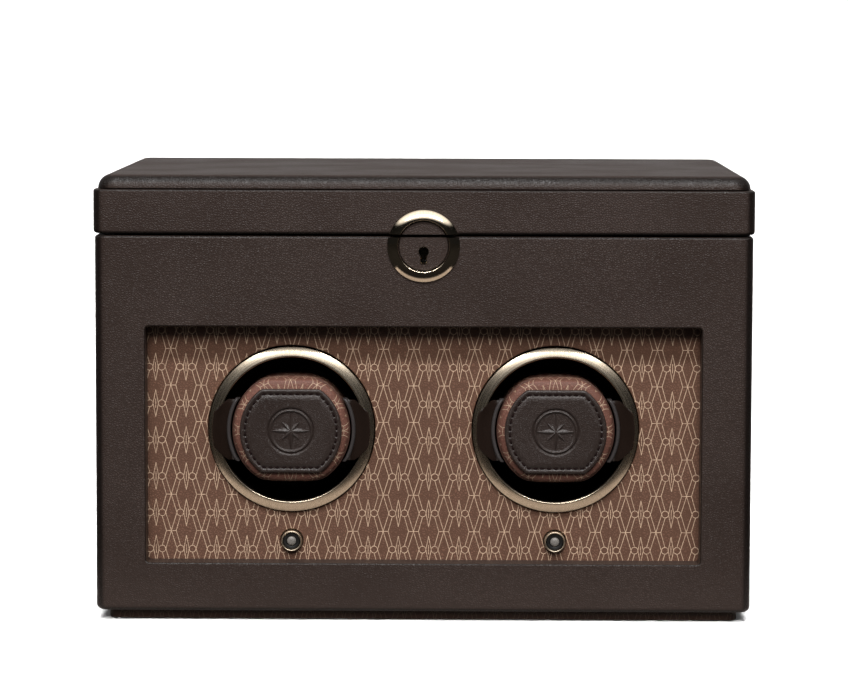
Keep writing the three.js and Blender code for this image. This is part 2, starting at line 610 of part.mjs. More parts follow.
// The watch cuff: a cushion in a U-shaped yoke whose wings rest over the ring, and its stitched face.
function makeCuff(name, x) {
  const z = DRUM.z;
  const { innerR, outerR, plateY0, plateY1, stemR, stemEnd } = YOKE;
  const yokeProfile = [
    [0, plateY0], [innerR, plateY0], ...WING, [outerR, plateY1], [stemR, plateY1], [stemR, stemEnd],
    [0, stemEnd],
  ];
  const reach = RING.outerR;
  const keep = box(x - reach, x + reach, RING.frontY - PAST, 0, z - YOKE.half, z + YOKE.half);
  piece("cuff_yoke_" + name, turned(yokeProfile, x, z).intersect(keep), "brownPlastic");

  const { edge } = CUFF;
  const soft = {
    bevelEnabled: true, bevelThickness: edge, bevelSize: edge, bevelOffset: -edge,
    bevelSegments: STEPS.soft, depth: CUFF.backY - CUFF.frontY - 2 * edge,
  };
  const outline = clippedDisc(CUFF.r, CUFF.half);
  const cushion = deepened(outline, CUFF.frontY + edge, CUFF.backY - edge, soft);
  piece("cuff_cushion_" + name, cushion.translate([x, 0, z]), "pattern");

  const face = deepened(clippedDisc(CUFF_FACE.r, CUFF_FACE.half), CUFF_FACE.frontY, CUFF.frontY - GAP);
  piece("cuff_face_" + name, face.translate([x, 0, z]), "leather");
}

// A push button with a lit lens in its middle, sliding in a metal bezel.
function makeButton(name, x) {
  const z = BUTTON.z;
  const back = panelY + PANEL.t + GAP;
  const { innerR, outerR, flangeR, flangeT, crestY, roll } = BEZEL;
  const bezel = [
    [innerR, crestY + roll], [(innerR + outerR) / 2, crestY], [outerR, crestY + roll], [outerR, back],
    [flangeR, back], [flangeR, back + flangeT], [innerR, back + flangeT],
  ];
  piece("button_bezel_" + name, turnedRing(bezel, x, z, 2 * TINY), "champagne");

  const { r, wellR, wellY, faceY, edge, collarR, collarY } = KEYCAP;
  const cap = [
    [0, wellY], [wellR, wellY], [wellR, faceY + edge], [r - edge, faceY], [r, faceY + edge],
    [r, collarY], [collarR, collarY], [collarR, KEY_STEM.start], [KEY_STEM.r, KEY_STEM.start],
    [KEY_STEM.r, KEY_STEM.end], [0, KEY_STEM.end],
  ];
  piece("button_cap_" + name, turned(cap, x, z, SMALL), "blackPlastic");

  const rise = LENS.edgeY - LENS.frontY;
  const dome = LENS.domeAngles.map(THREE.MathUtils.degToRad).map((a) => {
    return [LENS.r * Math.sin(a), LENS.edgeY - rise * Math.cos(a)];
  });
  const lens = [...dome, [LENS.r, LENS.edgeY], [LENS.r, LENS.backY], [0, LENS.backY]];
  piece("button_lens_" + name, turned(lens, x, z, SMALL), "lens");
}

// ---- electrics ----------------------------------------------------------------------------

function makeElectrics() {
  const wall = BULKHEAD.y1;
  const boardFront = wall + CONTROL.standoff;
  const boardBack = boardFront + CONTROL.t;
  const seat = boardBack - SUNK;
  const { half, z0, z1, footInset, footR } = CONTROL;
  const feet = [-half + footInset, half - footInset].flatMap((x) =>
    [z0 + footInset, z1 - footInset].map((z) => post(footR, wall + GAP, seat, x, z, TINY)),
  );
  const [chip, connector] = [CHIP, CONNECTOR].map((part) =>
    box(part.x0, part.x1, seat, boardBack + part.proud, part.z0, part.z1),
  );
  const capacitor = post(
    CAPACITOR.r, seat, boardBack + CAPACITOR.proud, CAPACITOR.x, CAPACITOR.z,
  );
  const board = box(-half, half, boardFront, boardBack, z0, z1);
  piece("control_board", join(board, ...feet, chip, capacitor, connector), "board");

  const front = SWITCHES.y0;
  const halfSide = SWITCHES.side / 2;
  const [low, high] = [BUTTON.z - halfSide, BUTTON.z + halfSide];
  const switches = [-DRUM.x, DRUM.x].map((x) =>
    box(x - halfSide, x + halfSide, SWITCHES.bodyY, front + SUNK, low, high),
  );
  const behind = panelY + PANEL.t + GAP;
  const posts = [-SWITCHES.postX, SWITCHES.postX].map((x) =>
    post(SWITCHES.postR, behind, front + SUNK, x, BUTTON.z, TINY),
  );
  const strip = box(-SWITCHES.half, SWITCHES.half, front, front + SWITCHES.t, SWITCHES.z0, SWITCHES.z1);
  piece("switch_board", join(strip, ...switches, ...posts), "board");

  const rim = backY + GAP;
  const { bodyR, bodyY, flangeR, flangeT } = JACK;
  const jack = [
    [0, bodyY], [bodyR, bodyY], [bodyR, rim], [flangeR, rim], [flangeR, rim + flangeT],
    [JACK_SOCKET.r, rim + flangeT], [JACK_SOCKET.r, JACK_SOCKET.floorY],
    [JACK_SOCKET.pinR, JACK_SOCKET.floorY], [JACK_SOCKET.pinR, JACK_SOCKET.pinEnd],
    [0, JACK_SOCKET.pinEnd],
  ];
  piece("power_jack", turned(jack, JACK.x, JACK.z, SMALL), "blackPlastic");
}

// ---- assembly -----------------------------------------------------------------------------

makeCase();
makePanel();
makeStorage();
makeLid();
makeHinges();
makeMedallion();
makeLock();
for (const [name, side] of [["left", -1], ["right", 1]]) {
  makeDrum(name, side * DRUM.x);
  makeMotor(name, side * (DRUM.x - GEAR_CENTRES));
  makeCuff(name, side * DRUM.x);
  makeButton(name, side * DRUM.x);
}
makeElectrics();

export default winder;
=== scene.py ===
import json
import math
from math import cos, sin

import bmesh
import bpy
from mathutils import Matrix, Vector


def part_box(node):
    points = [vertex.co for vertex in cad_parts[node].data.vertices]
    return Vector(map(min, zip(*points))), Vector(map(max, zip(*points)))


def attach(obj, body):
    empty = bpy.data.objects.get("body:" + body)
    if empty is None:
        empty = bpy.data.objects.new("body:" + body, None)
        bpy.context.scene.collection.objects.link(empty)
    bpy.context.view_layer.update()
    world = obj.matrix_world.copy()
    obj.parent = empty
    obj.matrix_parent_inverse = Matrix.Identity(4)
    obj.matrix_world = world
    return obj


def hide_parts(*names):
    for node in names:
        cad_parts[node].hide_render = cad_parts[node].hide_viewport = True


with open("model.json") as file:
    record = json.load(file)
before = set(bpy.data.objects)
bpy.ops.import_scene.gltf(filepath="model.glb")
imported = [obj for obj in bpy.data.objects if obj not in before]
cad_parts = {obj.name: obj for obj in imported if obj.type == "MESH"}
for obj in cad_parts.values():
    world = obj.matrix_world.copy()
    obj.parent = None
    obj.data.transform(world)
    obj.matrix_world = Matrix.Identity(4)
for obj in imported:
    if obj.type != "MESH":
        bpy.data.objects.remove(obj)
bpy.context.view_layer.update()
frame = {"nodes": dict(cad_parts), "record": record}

MM = 0.001
SIDES = ("left", "right")
TAU = 2 * math.pi

# Everything below is in millimetres, except where a comment says otherwise.
GAP = 0.3  # air round a piece in the room that is cut for it
PAST = 5  # how far a cutter runs past the face it cuts
TALL = 400  # higher than anything here
AIR = Vector((GAP, GAP, GAP))


# ---- places, from the imported frame and a few given sizes ----

def spans(*nodes):
    """The box that holds all these CAD nodes, in millimetres."""
    corners = [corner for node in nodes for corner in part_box(node)]
    low = Vector(min(c[i] for c in corners) for i in range(3)) / MM
    high = Vector(max(c[i] for c in corners) for i in range(3)) / MM
    return low, high


def middle(node):
    """The middle of a CAD node's box, in millimetres."""
    return measured(node)[2]


def measured(node):
    """The low and high corners of a CAD node's box, and its middle."""
    low, high = spans(node)
    return low, high, (low + high) / 2


def turns(count):
    """The angles of a full turn in equal steps."""
    return [TAU * i / count for i in range(count)]


CASE_LOW, CASE_HIGH = spans("front_frame", "back_board")
CASE_W, CASE_D = CASE_HIGH.x - CASE_LOW.x, CASE_HIGH.y - CASE_LOW.y
FRONT_Y = CASE_LOW.y
FRAME_BACK_Y = spans("front_frame")[1].y
LID_LOW, LID_HIGH = spans("lid_band")
LID_W, LID_D = LID_HIGH.x - LID_LOW.x, LID_HIGH.y - LID_LOW.y
TOP_LOW, TOP_HIGH = spans("lid_top")
PANEL_LOW, PANEL_HIGH = spans("module_panel")
WALL = 12.0
CORNER = 6.5
WINDOW = {"w": 268.8, "bottom": 28.5, "top": 143.6, "corner": 1.6}
SEAM_LOW, SEAM_HIGH = CASE_HIGH.z, LID_LOW.z
KEYHOLE = middle("lock_rotor")


# ---- mesh building ----

def add_mesh(name, points, faces):
    """A mesh object from points in millimetres, with its faces turned outwards."""
    mesh = bpy.data.meshes.new(name)
    mesh.from_pydata([Vector(p) * MM for p in points], [], faces)
    work = bmesh.new()
    work.from_mesh(mesh)
    bmesh.ops.remove_doubles(work, verts=work.verts, dist=1e-7)
    bmesh.ops.recalc_face_normals(work, faces=work.faces)
    work.to_mesh(mesh)
    work.free()
    made = bpy.data.objects.new(name, mesh)
    bpy.context.scene.collection.objects.link(made)
    return made


def upright(outline, y, centre=Vector((0, 0, 0))):
    """An outline of (across, up) pairs, set upright at a depth."""
    return [(centre.x + a, y, centre.z + b) for a, b in outline]


def stacked(name, rings, ends="capped"):
    """A skin over outlines that have the same number of points; its ends are capped, open or joined."""
    count, levels = len(rings[0]), len(rings)
    faces = []
    for level in range(levels if ends == "joined" else levels - 1):
        low, high = level * count, (level + 1) % levels * count
        for i in range(count):
            j = (i + 1) % count
            faces.append((low + i, low + j, high + j, high + i))
    if ends == "capped":
        faces += [tuple(range(count)), tuple(range((levels - 1) * count, levels * count))]
    return add_mesh(name, [p for ring in rings for p in ring], faces)


def looped(name, outline_at, profile, lying=False):
    """A frame whose section, as (widening, depth) pairs, runs round an outline and closes on itself."""
    rings = []
    for widen, level in profile:
        outline = outline_at(widen)
        rings.append([(a, b, level) for a, b in outline] if lying else upright(outline, level))
    return stacked(name, rings, "joined")


def rounded_rect(w, h, corner, steps=8):
    """The outline of a w by h rectangle with round corners, as (across, up) pairs."""
    corner = max(corner, 0.05)
    outline = []
    for quarter in range(4):
        sx, sy = ((1, 1), (-1, 1), (-1, -1), (1, -1))[quarter]
        for i in range(steps + 1):
            a = (quarter + i / steps) * math.pi / 2
            outline.append((sx * (w / 2 - corner) + corner * cos(a),
                            sy * (h / 2 - corner) + corner * sin(a)))
    return outline


def rounding(radius, steps=5):
    """(inset, rise) pairs of a quarter-round edge, from its foot on the end face to the side."""
    angles = [i / steps * math.pi / 2 for i in range(steps + 1)]
    return [(radius * (1 - sin(a)), radius * (1 - cos(a))) for a in angles]


def slab(name, w, d, corner, z0, z1, low_edge, high_edge, x=0, y=0):
    """An upright rounded box whose bottom and top edges are rolled over."""
    levels = [(inset, z0 + rise) for inset, rise in rounding(low_edge)]
    levels += [(inset, z1 - rise) for inset, rise in reversed(rounding(high_edge))]
    rings = []
    for inset, z in levels:
        plan = rounded_rect(w - 2 * inset, d - 2 * inset, corner - inset)
        rings.append([(x + a, y + b, z) for a, b in plan])
    return stacked(name, rings)


def block(name, low, high):
    """A plain box to cut with."""
    plan = ((low[0], low[1]), (high[0], low[1]), (high[0], high[1]), (low[0], high[1]))
    return stacked(name, [[(x, y, z) for x, y in plan] for z in (low[2], high[2])])


def flared_opening(name, outline_at, y_front, y_back, edge):
    """A cutter along y whose mouth widens by a quarter round, so the edge it leaves is rolled."""
    levels = [(edge, y_front - PAST)]
    levels += [(inset, y_front + rise) for inset, rise in rounding(edge)]
    levels += [(0, y_back + PAST)]
    return stacked(name, [upright(outline_at(widen), y) for widen, y in levels])


def lathe(name, profile, x, z, sides=96, loop=False):
    """A profile of (radius, y) pairs turned about the front-to-back line through x and z."""
    rings = [[(x + r * cos(a), y, z + r * sin(a)) for a in turns(sides)] for r, y in profile]
    return stacked(name, rings, "joined" if loop else "open")


def arc(centre, radius, start, end, steps=8):
    """(radius, y) pairs of an arc in a lathe profile; 0 degrees points outwards, 90 to the front."""
    angles = [math.radians(start + (end - start) * i / steps) for i in range(steps + 1)]
    return [(centre[0] + radius * cos(a), centre[1] - radius * sin(a)) for a in angles]


def bake(piece):
    """Applies the modifiers of a piece to its mesh."""
    graph = bpy.context.evaluated_depsgraph_get()
    mesh = bpy.data.meshes.new_from_object(piece.evaluated_get(graph))
    piece.modifiers.clear()
    piece.data = mesh
    return piece


def carve(piece, *cutters):
    """Cuts the cutters out of a piece and removes them."""
    for cutter in cutters:
        step = piece.modifiers.new("cut", "BOOLEAN")
        step.operation = "DIFFERENCE"
        step.solver = "EXACT"
        step.object = cutter
    bake(piece)
    for cutter in cutters:
        bpy.data.objects.remove(cutter)
    return piece


def fused(name, parts):
    """Several loose meshes as one piece."""
    target = parts[0]
    work = bmesh.new()
    for part in parts:
        work.from_mesh(part.data)
    work.to_mesh(target.data)
    work.free()
    for part in parts[1:]:
        bpy.data.objects.remove(part)
    target.name = name
    return target


def settle(piece, body, replaced, material, sharp=32, weighted=False):
    """Shades a piece, and says what it rides on, what it is made of and what it stands for."""
    piece.data.materials.clear()
    piece.data.materials.append(material)
    piece.data.shade_smooth()
    piece.data.set_sharp_from_angle(angle=math.radians(sharp))
    if weighted:
        flat = piece.modifiers.new("flat_faces", "WEIGHTED_NORMAL")
        flat.keep_sharp = True
    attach(piece, body)
    if replaced:
        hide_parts(*replaced)
    return piece


# ---- material nodes ----

class Nodes:
    """The nodes of a material or of the world."""

    def __init__(self, tree):
        self.tree = tree

    def add(self, kind, sockets=None, **settings):
        made = self.tree.nodes.new(kind)
        for key, value in settings.items():
            setattr(made, key, value)
        for key, value in (sockets or {}).items():
            self.put(made.inputs[key], value)
        return made

    def put(self, socket, value):
        if isinstance(value, bpy.types.NodeSocket):
            self.tree.links.new(value, socket)
        else:
            socket.default_value = value

    def calc(self, operation, *values, clamp=False):
        made = self.add("ShaderNodeMath", operation=operation, use_clamp=clamp)
        for i, value in enumerate(values):
            self.put(made.inputs[i], value)
        return made.outputs[0]

    def plus(self, a, b):
        return self.calc("ADD", a, b)

    def minus(self, a, b):
        return self.calc("SUBTRACT", a, b)

    def times(self, a, b):
        return self.calc("MULTIPLY", a, b)

    def length(self, a, b):
        return self.calc("SQRT", self.plus(self.times(a, a), self.times(b, b)))

    def split(self, vector):
        return self.add("ShaderNodeSeparateXYZ", {0: vector}).outputs

    def ramp(self, value, low=0.3, high=0.7, out_low=0.0, out_high=1.0):
        """Carries a value smoothly from one range to another; a noise lies mostly in the range by default."""
        sockets = {"Value": value, "From Min": low, "From Max": high, "To Min": out_low, "To Max": out_high}
        return self.add("ShaderNodeMapRange", sockets, interpolation_type="SMOOTHSTEP").outputs[0]


class Shader(Nodes):
    """A node material under construction. Its lengths and bump distances are in metres."""

    def __init__(self, name):
        self.material = bpy.data.materials.new(name)
        self.material.use_nodes = True
        super().__init__(self.material.node_tree)
        self.surface = self.tree.nodes["Principled BSDF"]

    def set(self, **values):
        for key, value in values.items():
            self.put(self.surface.inputs[key.replace("_", " ")], value)

    def place(self, scale=(1, 1, 1), shift=(0, 0, 0)):
        where = self.add("ShaderNodeTexCoord").outputs["Object"]
        return self.add("ShaderNodeMapping", {"Vector": where, "Scale": scale, "Location": shift}).outputs[0]

    def about(self, centre):
        """Coordinates in millimetres, across and up from a front-to-back axis."""
        return self.split(self.place(scale=(1000, 1000, 1000), shift=(-centre.x, 0, -centre.z)))

    def join(self, x, y, z):
        return self.add("ShaderNodeCombineXYZ", {0: x, 1: y, 2: z}).outputs[0]

    def noise(self, vector, scale, detail=3.0, roughness=0.55):
        sockets = {"Vector": vector, "Scale": scale, "Detail": detail, "Roughness": roughness}
        return self.add("ShaderNodeTexNoise", sockets).outputs[0]

    def mix(self, factor, a, b):
        made = self.add("ShaderNodeMix", data_type="RGBA")
        self.put(made.inputs["Factor"], factor)
        for socket, value in zip([s for s in made.inputs if s.type == "RGBA"], (a, b)):
            self.put(socket, value if isinstance(value, bpy.types.NodeSocket) else (*value, 1))
        return next(s for s in made.outputs if s.type == "RGBA")

    def tones(self, noise, colour, dark, light):
        """A colour that a noise makes darker and lighter."""
        return self.mix(self.ramp(noise), scaled(colour, dark), scaled(colour, light))

    def bump(self, height, distance, strength=1.0, normal=None):
        sockets = {"Height": height, "Distance": distance, "Strength": strength}
        if normal is not None:
            sockets["Normal"] = normal
        return self.add("ShaderNodeBump", sockets).outputs[0]


def scaled(colour, k):
    return tuple(c * k for c in colour)


def grain(look, where, cell, distance):
    """The pebbled surface of leather: its normal, and how deep each point lies, 0 in a crease."""
    drift = look.add("ShaderNodeTexNoise", {"Vector": where, "Scale": 300.0, "Detail": 1.0}).outputs[1]
    stretch = (0.0006, 0.0006, 0.0006)
    bent = look.add("ShaderNodeVectorMath", {0: drift, 1: stretch}, operation="MULTIPLY").outputs[0]
    point = look.add("ShaderNodeVectorMath", {0: where, 1: bent}, operation="ADD").outputs[0]
    sockets = {"Vector": point, "Scale": 1000 / cell}
    creases = look.add("ShaderNodeTexVoronoi", sockets, feature="DISTANCE_TO_EDGE").outputs[0]
    pebble = look.ramp(creases, 0.0, 0.32)
    fine = look.noise(where, 3200.0, 2.0)
    wide = look.noise(where, 420.0, 2.0)
    height = look.plus(look.plus(look.times(fine, 0.5), pebble), look.times(wide, 1.1))
    return look.bump(height, distance), pebble


ROLL_ROUGHNESS = 0.36  # the roughness of leather on a rolled edge, where its colour is also darkened as painted shade


def leather(name, colour, rough=0.44, cell=1.1, distance=0.00011, shine=0.32, painted_roll_shade=1.0):
    """Smooth-dyed leather with a fine pebbled grain. Its last argument sets how dark the colour is painted
    over rolled edges, as painted shade; 1 paints none. The leather is also made smoother there.
    """
    look = Shader(name)
    where = look.place()
    normal, pebble = grain(look, where, cell, distance)
    blotch = look.noise(where, 22.0, 4.0)
    tone_and_painted_shade = look.mix(pebble, scaled(colour, 0.72), look.tones(blotch, colour, 0.86, 1.12))
    sheen = look.ramp(blotch, out_low=rough - 0.06, out_high=rough + 0.06)
    if painted_roll_shade < 1:
        facing = look.add("ShaderNodeTexCoord").outputs["Normal"]
        square = [look.calc("ABSOLUTE", part) for part in look.split(facing)]
        widest = look.calc("MAXIMUM", look.calc("MAXIMUM", square[0], square[1]), square[2])
        rolled = look.ramp(widest, 0.80, 0.985, 1.0, 0.0)
        # Painted shade: the colour goes darker over rolled edges, as light falls off a roll.
        tone_and_painted_shade = look.mix(rolled, tone_and_painted_shade, scaled(colour, painted_roll_shade))
        sheen = look.minus(sheen, look.times(rolled, rough - ROLL_ROUGHNESS))
    look.set(Base_Color=tone_and_painted_shade, Normal=normal, Roughness=sheen, Specular_IOR_Level=shine)
    return look.material


def distance_to(look, u, v, start, end):
    """The distance from (u, v) to a straight line between two points, all in millimetres."""
    across, up = end[0] - start[0], end[1] - start[1]
    du, dv = look.minus(u, start[0]), look.minus(v, start[1])
    along = look.plus(look.times(du, across), look.times(dv, up))
    t = look.calc("DIVIDE", along, across * across + up * up, clamp=True)
    return look.length(look.minus(du, look.times(t, across)), look.minus(dv, look.times(t, up)))


LATTICE = {"across": 14.79, "up": 17.87, "line": 0.17, "ring": 1.65, "ring_x": 2.95, "tie": 2.4}


def lattice(look, u, v):
    """A printed lattice: tall double-line diamonds tied by short bars, with a lozenge between two rings.

    It repeats from a bar's middle at (0, 0), and mirrors about the middle of each cell.
    """
    half_u, half_v = LATTICE["across"] / 2, LATTICE["up"] / 2

    def mirrored(value, half):
        return look.calc("ABSOLUTE", look.minus(look.calc("FLOORED_MODULO", value, 2 * half), half))

    a, b = mirrored(u, half_u), mirrored(v, half_v)
    tie, ring_x = half_u - LATTICE["tie"], LATTICE["ring_x"]
    strokes = [
        ((half_u, half_v), (half_u - 2.75, 0)),
        ((tie, half_v), (ring_x, 1.7)),
        ((tie, half_v), (half_u, half_v)),
        ((1.3, 0), (0, 6.6)),
        ((0, 0), (0, 2.1)),
    ]
    radius = look.length(look.minus(a, ring_x), b)
    nearest = look.calc("ABSOLUTE", look.minus(radius, LATTICE["ring"]))
    for start, end in strokes:
        nearest = look.calc("MINIMUM", nearest, distance_to(look, a, b, start, end))
    return look.ramp(nearest, LATTICE["line"] * 0.6, LATTICE["line"] * 1.5, 1.0, 0.0)


def patterned(name, ground, line, flat_uv, rough=0.55):
    """Coated leather printed with the lattice. flat_uv makes the print's coordinates in millimetres."""
    look = Shader(name)
    where = look.place()
    normal, pebble = grain(look, where, 1.3, 0.00009)
    print_mask = lattice(look, *flat_uv(look))
    wear = look.ramp(look.noise(where, 700.0, 2.0), 0.25, 0.6, 0.6, 1.0)
    faded = look.times(print_mask, wear)
    base = look.tones(look.noise(where, 30.0, 4.0), ground, 0.88, 1.1)
    base = look.mix(pebble, scaled(ground, 0.7), base)
    pressed = look.bump(look.times(print_mask, -1.0), 0.00012, 1.0, normal)
    sheen = look.ramp(faded, 0.0, 1.0, rough, rough - 0.15)
    look.set(Base_Color=look.mix(faded, base, line), Normal=pressed, Roughness=sheen,
               Specular_IOR_Level=0.28)
    return look.material


def sheet_uv(x0, z0):
    """Print coordinates that run round an upright wall: across is x on the front, y on the sides."""
    def coordinates(look):
        x, y, z = look.split(look.place(scale=(1000, 1000, 1000)))
        return look.plus(look.plus(x, y), x0), look.plus(z, z0)
    return coordinates


ROLL = {"radius": 28.08, "start": 76.6}  # the cuff's print: its radius, and where the pattern starts along it


def roll_uv(centre):
    """Print coordinates that wrap round a roll lying front to back, and over its front edge."""
    def coordinates(look):
        x, y, z = look.about(centre)
        around = look.times(look.calc("ARCTAN2", z, x), ROLL["radius"])
        return around, look.plus(look.plus(y, look.length(x, z)), ROLL["start"])
    return coordinates


def suede(name, colour):
    """Short-napped lining cloth."""
    look = Shader(name)
    nap = look.noise(look.place(), 1900.0, 4.0, 0.7)
    stroke = look.noise(look.place(scale=(1, 2.2, 1)), 60.0, 3.0)
    lit = look.tones(stroke, colour, 0.8, 1.25)
    tone = look.mix(look.ramp(nap, 0.35, 0.65), scaled(colour, 0.75), lit)
    look.set(Base_Color=tone, Roughness=0.92, Normal=look.bump(nap, 0.0003), Sheen_Weight=0.5,
               Sheen_Roughness=0.45, Sheen_Tint=(*scaled(colour, 3.0), 1), Specular_IOR_Level=0.2)
    return look.material


def brushed(name, colour, centre, rough=0.24):
    """Plated metal brushed round its axis, which runs front to back through centre."""
    look = Shader(name)
    x, y, z = look.about(centre)
    out, around = look.length(x, z), look.calc("ARCTAN2", z, x)
    fine = look.join(look.times(out, 14.0), look.times(y, 14.0), look.times(around, 1.6))
    broad = look.join(look.times(out, 0.4), 0.0, look.times(around, 38.0))
    lines, streak = look.noise(fine, 1.0, 3.0), look.noise(broad, 1.0, 2.0)
    sheen = look.ramp(lines, out_low=rough * 0.8, out_high=rough * 1.35)
    look.set(Base_Color=look.tones(streak, colour, 0.9, 1.06), Metallic=1.0, Roughness=sheen,
               Normal=look.bump(lines, 0.000008, 0.5))
    return look.material


def plain_metal(name, colour, rough=0.35):
    """Machined or pressed metal with fine scratches."""
    look = Shader(name)
    scratch = look.noise(look.place(scale=(1, 9, 9)), 260.0, 4.0)
    spots = look.noise(look.place(), 90.0, 4.0)
    sheen = look.ramp(scratch, out_low=rough - 0.08, out_high=rough + 0.1)
    look.set(Base_Color=look.tones(spots, colour, 0.85, 1.05), Metallic=1.0, Roughness=sheen,
               Normal=look.bump(scratch, 0.00003, 0.5))
    return look.material


def plastic(name, colour, rough=0.4, texture=0.00004):
    """Moulded plastic with a fine spark-eroded texture."""
    look = Shader(name)
    fine = look.noise(look.place(), 2400.0, 2.0)
    wide = look.noise(look.place(), 35.0, 3.0)
    sheen = look.ramp(wide, out_low=rough - 0.04, out_high=rough + 0.06)
    look.set(Base_Color=look.tones(wide, colour, 0.88, 1.1), Roughness=sheen,
               Normal=look.bump(fine, texture, 0.7))
    return look.material


def fibreboard(name, colour):
    """Pressed fibreboard, flecked and matt."""
    look = Shader(name)
    fleck = look.noise(look.place(), 900.0, 5.0, 0.75)
    look.set(Base_Color=look.tones(fleck, colour, 0.7, 1.15), Roughness=0.85,
               Normal=look.bump(fleck, 0.0001, 0.6))
    return look.material


def frosted(name):
    """A frosted translucent lens over a dark well."""
    look = Shader(name)
    fine = look.noise(look.place(), 3500.0, 2.0)
    tone = look.mix(look.ramp(fine), (0.15, 0.138, 0.125), (0.23, 0.21, 0.19))
    look.set(Base_Color=tone, Roughness=look.ramp(fine, out_low=0.28, out_high=0.4),
               Normal=look.bump(fine, 0.00003, 0.5), Transmission_Weight=0.15, IOR=1.49)
    return look.material


ESPRESSO = (0.0375, 0.0250, 0.0207)
BROWN = (0.137, 0.0694, 0.0456)
TAN = (0.52, 0.36, 0.25)
CHAMPAGNE = (0.74, 0.62, 0.47)

# The shell's rolled edges are painted down to 0.22 of its colour, as painted shade.
SHELL = leather("espresso_leather", ESPRESSO, painted_roll_shade=0.22)
FACE = leather("face_leather", (0.031, 0.0212, 0.0180), rough=0.36, cell=0.8, distance=0.00008, shine=0.5)
CHEEK = leather("cheek_leather", (0.045, 0.039, 0.038), rough=0.4, cell=0.7, distance=0.00005, shine=0.5)
PIPING = leather("cuff_piping_leather", (0.075, 0.034, 0.025), rough=0.45, cell=0.6, distance=0.00005)
PANEL_PRINT = patterned("panel_print", BROWN, TAN, sheet_uv(99.75, -131.75))
# The plinth wears the panel's print with its ground at 0.2 and its lines at 0.11 of their brightness: painted
# shade for where it sits under the body.
SHADED_PLINTH_PRINT = patterned("plinth_print_painted_shade", scaled(BROWN, 0.2), scaled(TAN, 0.11), sheet_uv(0.0, 4.0))
PILLOW_HIDE = leather("pillow_leather", (0.12, 0.066, 0.045), rough=0.6, cell=1.6, distance=0.0002)
LINING = suede("suede_lining", (0.062, 0.036, 0.027))
BLACK = plastic("black_moulding", (0.006, 0.0055, 0.005), rough=0.5)
GLOSS = plastic("brown_moulding", (0.010, 0.0058, 0.0042), rough=0.2, texture=0.00001)
THREAD = leather("dark_thread", (0.012, 0.005, 0.0045), rough=0.75, cell=0.3, shine=0.15)
STEEL = plain_metal("plated_steel", (0.56, 0.56, 0.57))
BRASS = plain_metal("turned_brass", (0.58, 0.45, 0.27), rough=0.36)
# Near-black metal, only for the lock rotor: painted shade for the inside of the keyhole.
KEYHOLE_SHADE_METAL = plain_metal("keyhole_shade_metal", (0.10, 0.085, 0.07), rough=0.3)
ACETAL = plastic("acetal", (0.74, 0.71, 0.64), rough=0.45)
BOARD = plastic("solder_resist", (0.02, 0.10, 0.05), rough=0.35)
FIBRE = fibreboard("fibreboard", (0.36, 0.25, 0.15))
LENS = frosted("frosted_lens")


# ---- case ----

KEYWAY = {"slot_half": 1.55, "radius": 2.5, "foot": -5.9, "corner": 0.5}


def keyway_outline(widen=0.0):
    """The keyhole's outline about its middle: a round hole joined to a slot below it."""
    half, radius, foot = KEYWAY["slot_half"] + widen, KEYWAY["radius"] + widen, KEYWAY["foot"] - widen
    start = math.acos(half / radius)
    steps = 18
    outline = []
    for i in range(steps + 1):
        a = -start + (math.pi + 2 * start) * i / steps
        outline.append((radius * cos(a), radius * sin(a)))
    corner = KEYWAY["corner"]
    outline += [(-half, foot + corner), (-half + corner, foot), (half - corner, foot), (half, foot + corner)]
    return [(KEYHOLE.x + a, KEYHOLE.z + b) for a, b in outline]


def keyway_cutter(y0, y1):
    """The key's way in, to cut with."""
    return stacked("keyway", [upright(keyway_outline(0.02), y) for y in (y0, y1)])


def hinge_beds():
    """Room for the two hinges in the wall they are let into."""
    beds = []
    for side in SIDES:
        for leaf in ("hinge_case_leaf_", "hinge_lid_leaf_"):
            low, high = spans(leaf + side)
            aside = Vector((1, 0, 0))
            beds.append(block("bed", low - AIR - aside, high + Vector((GAP, 3, GAP)) + aside))
    return beds


def window_outline(widen):
    """The window's outline, widened all round."""
    height = WINDOW["top"] - WINDOW["bottom"]
    centre = (WINDOW["top"] + WINDOW["bottom"]) / 2
    shape = rounded_rect(WINDOW["w"] + 2 * widen, height + 2 * widen, WINDOW["corner"] + widen, 4)
    return [(a, centre + b) for a, b in shape]


def make_case():
    shell = slab("case_leather", CASE_W, CASE_D, CORNER, CASE_LOW.z, CASE_HIGH.z, 2.8, 1.3)
    inside = CASE_HIGH.x - WALL, CASE_HIGH.y - WALL, TALL
    room = block("room", (CASE_LOW.x + WALL, FRAME_BACK_Y, 0), inside)
    window = flared_opening("window", window_outline, FRONT_Y, FRAME_BACK_Y, 0.9)
    lock_low, lock_high = spans("lock_case")
    pocket = block("pocket", lock_low - AIR, lock_high + Vector((GAP, 3, PAST)))
    jack = middle("power_jack")
    jack_hole = lathe("jack_hole", [(0, 90), (6.3, 90), (6.3, 115), (0, 115)], jack.x, jack.z, 32)
    keyway = keyway_cutter(FRONT_Y - PAST, FRONT_Y + PAST)
    carve(shell, room, window, pocket, keyway, jack_hole, *hinge_beds())
    boards = ("front_frame", "side_left", "side_right", "back_board")
    settle(shell, "root", boards, SHELL, weighted=True)

    low, high = spans("base_plinth")
    plinth = slab("plinth_wrap", high.x - low.x, high.y - low.y, 5, low.z, high.z, 1.2, 0.3)
    settle(plinth, "root", ("base_plinth",), SHADED_PLINTH_PRINT, weighted=True)


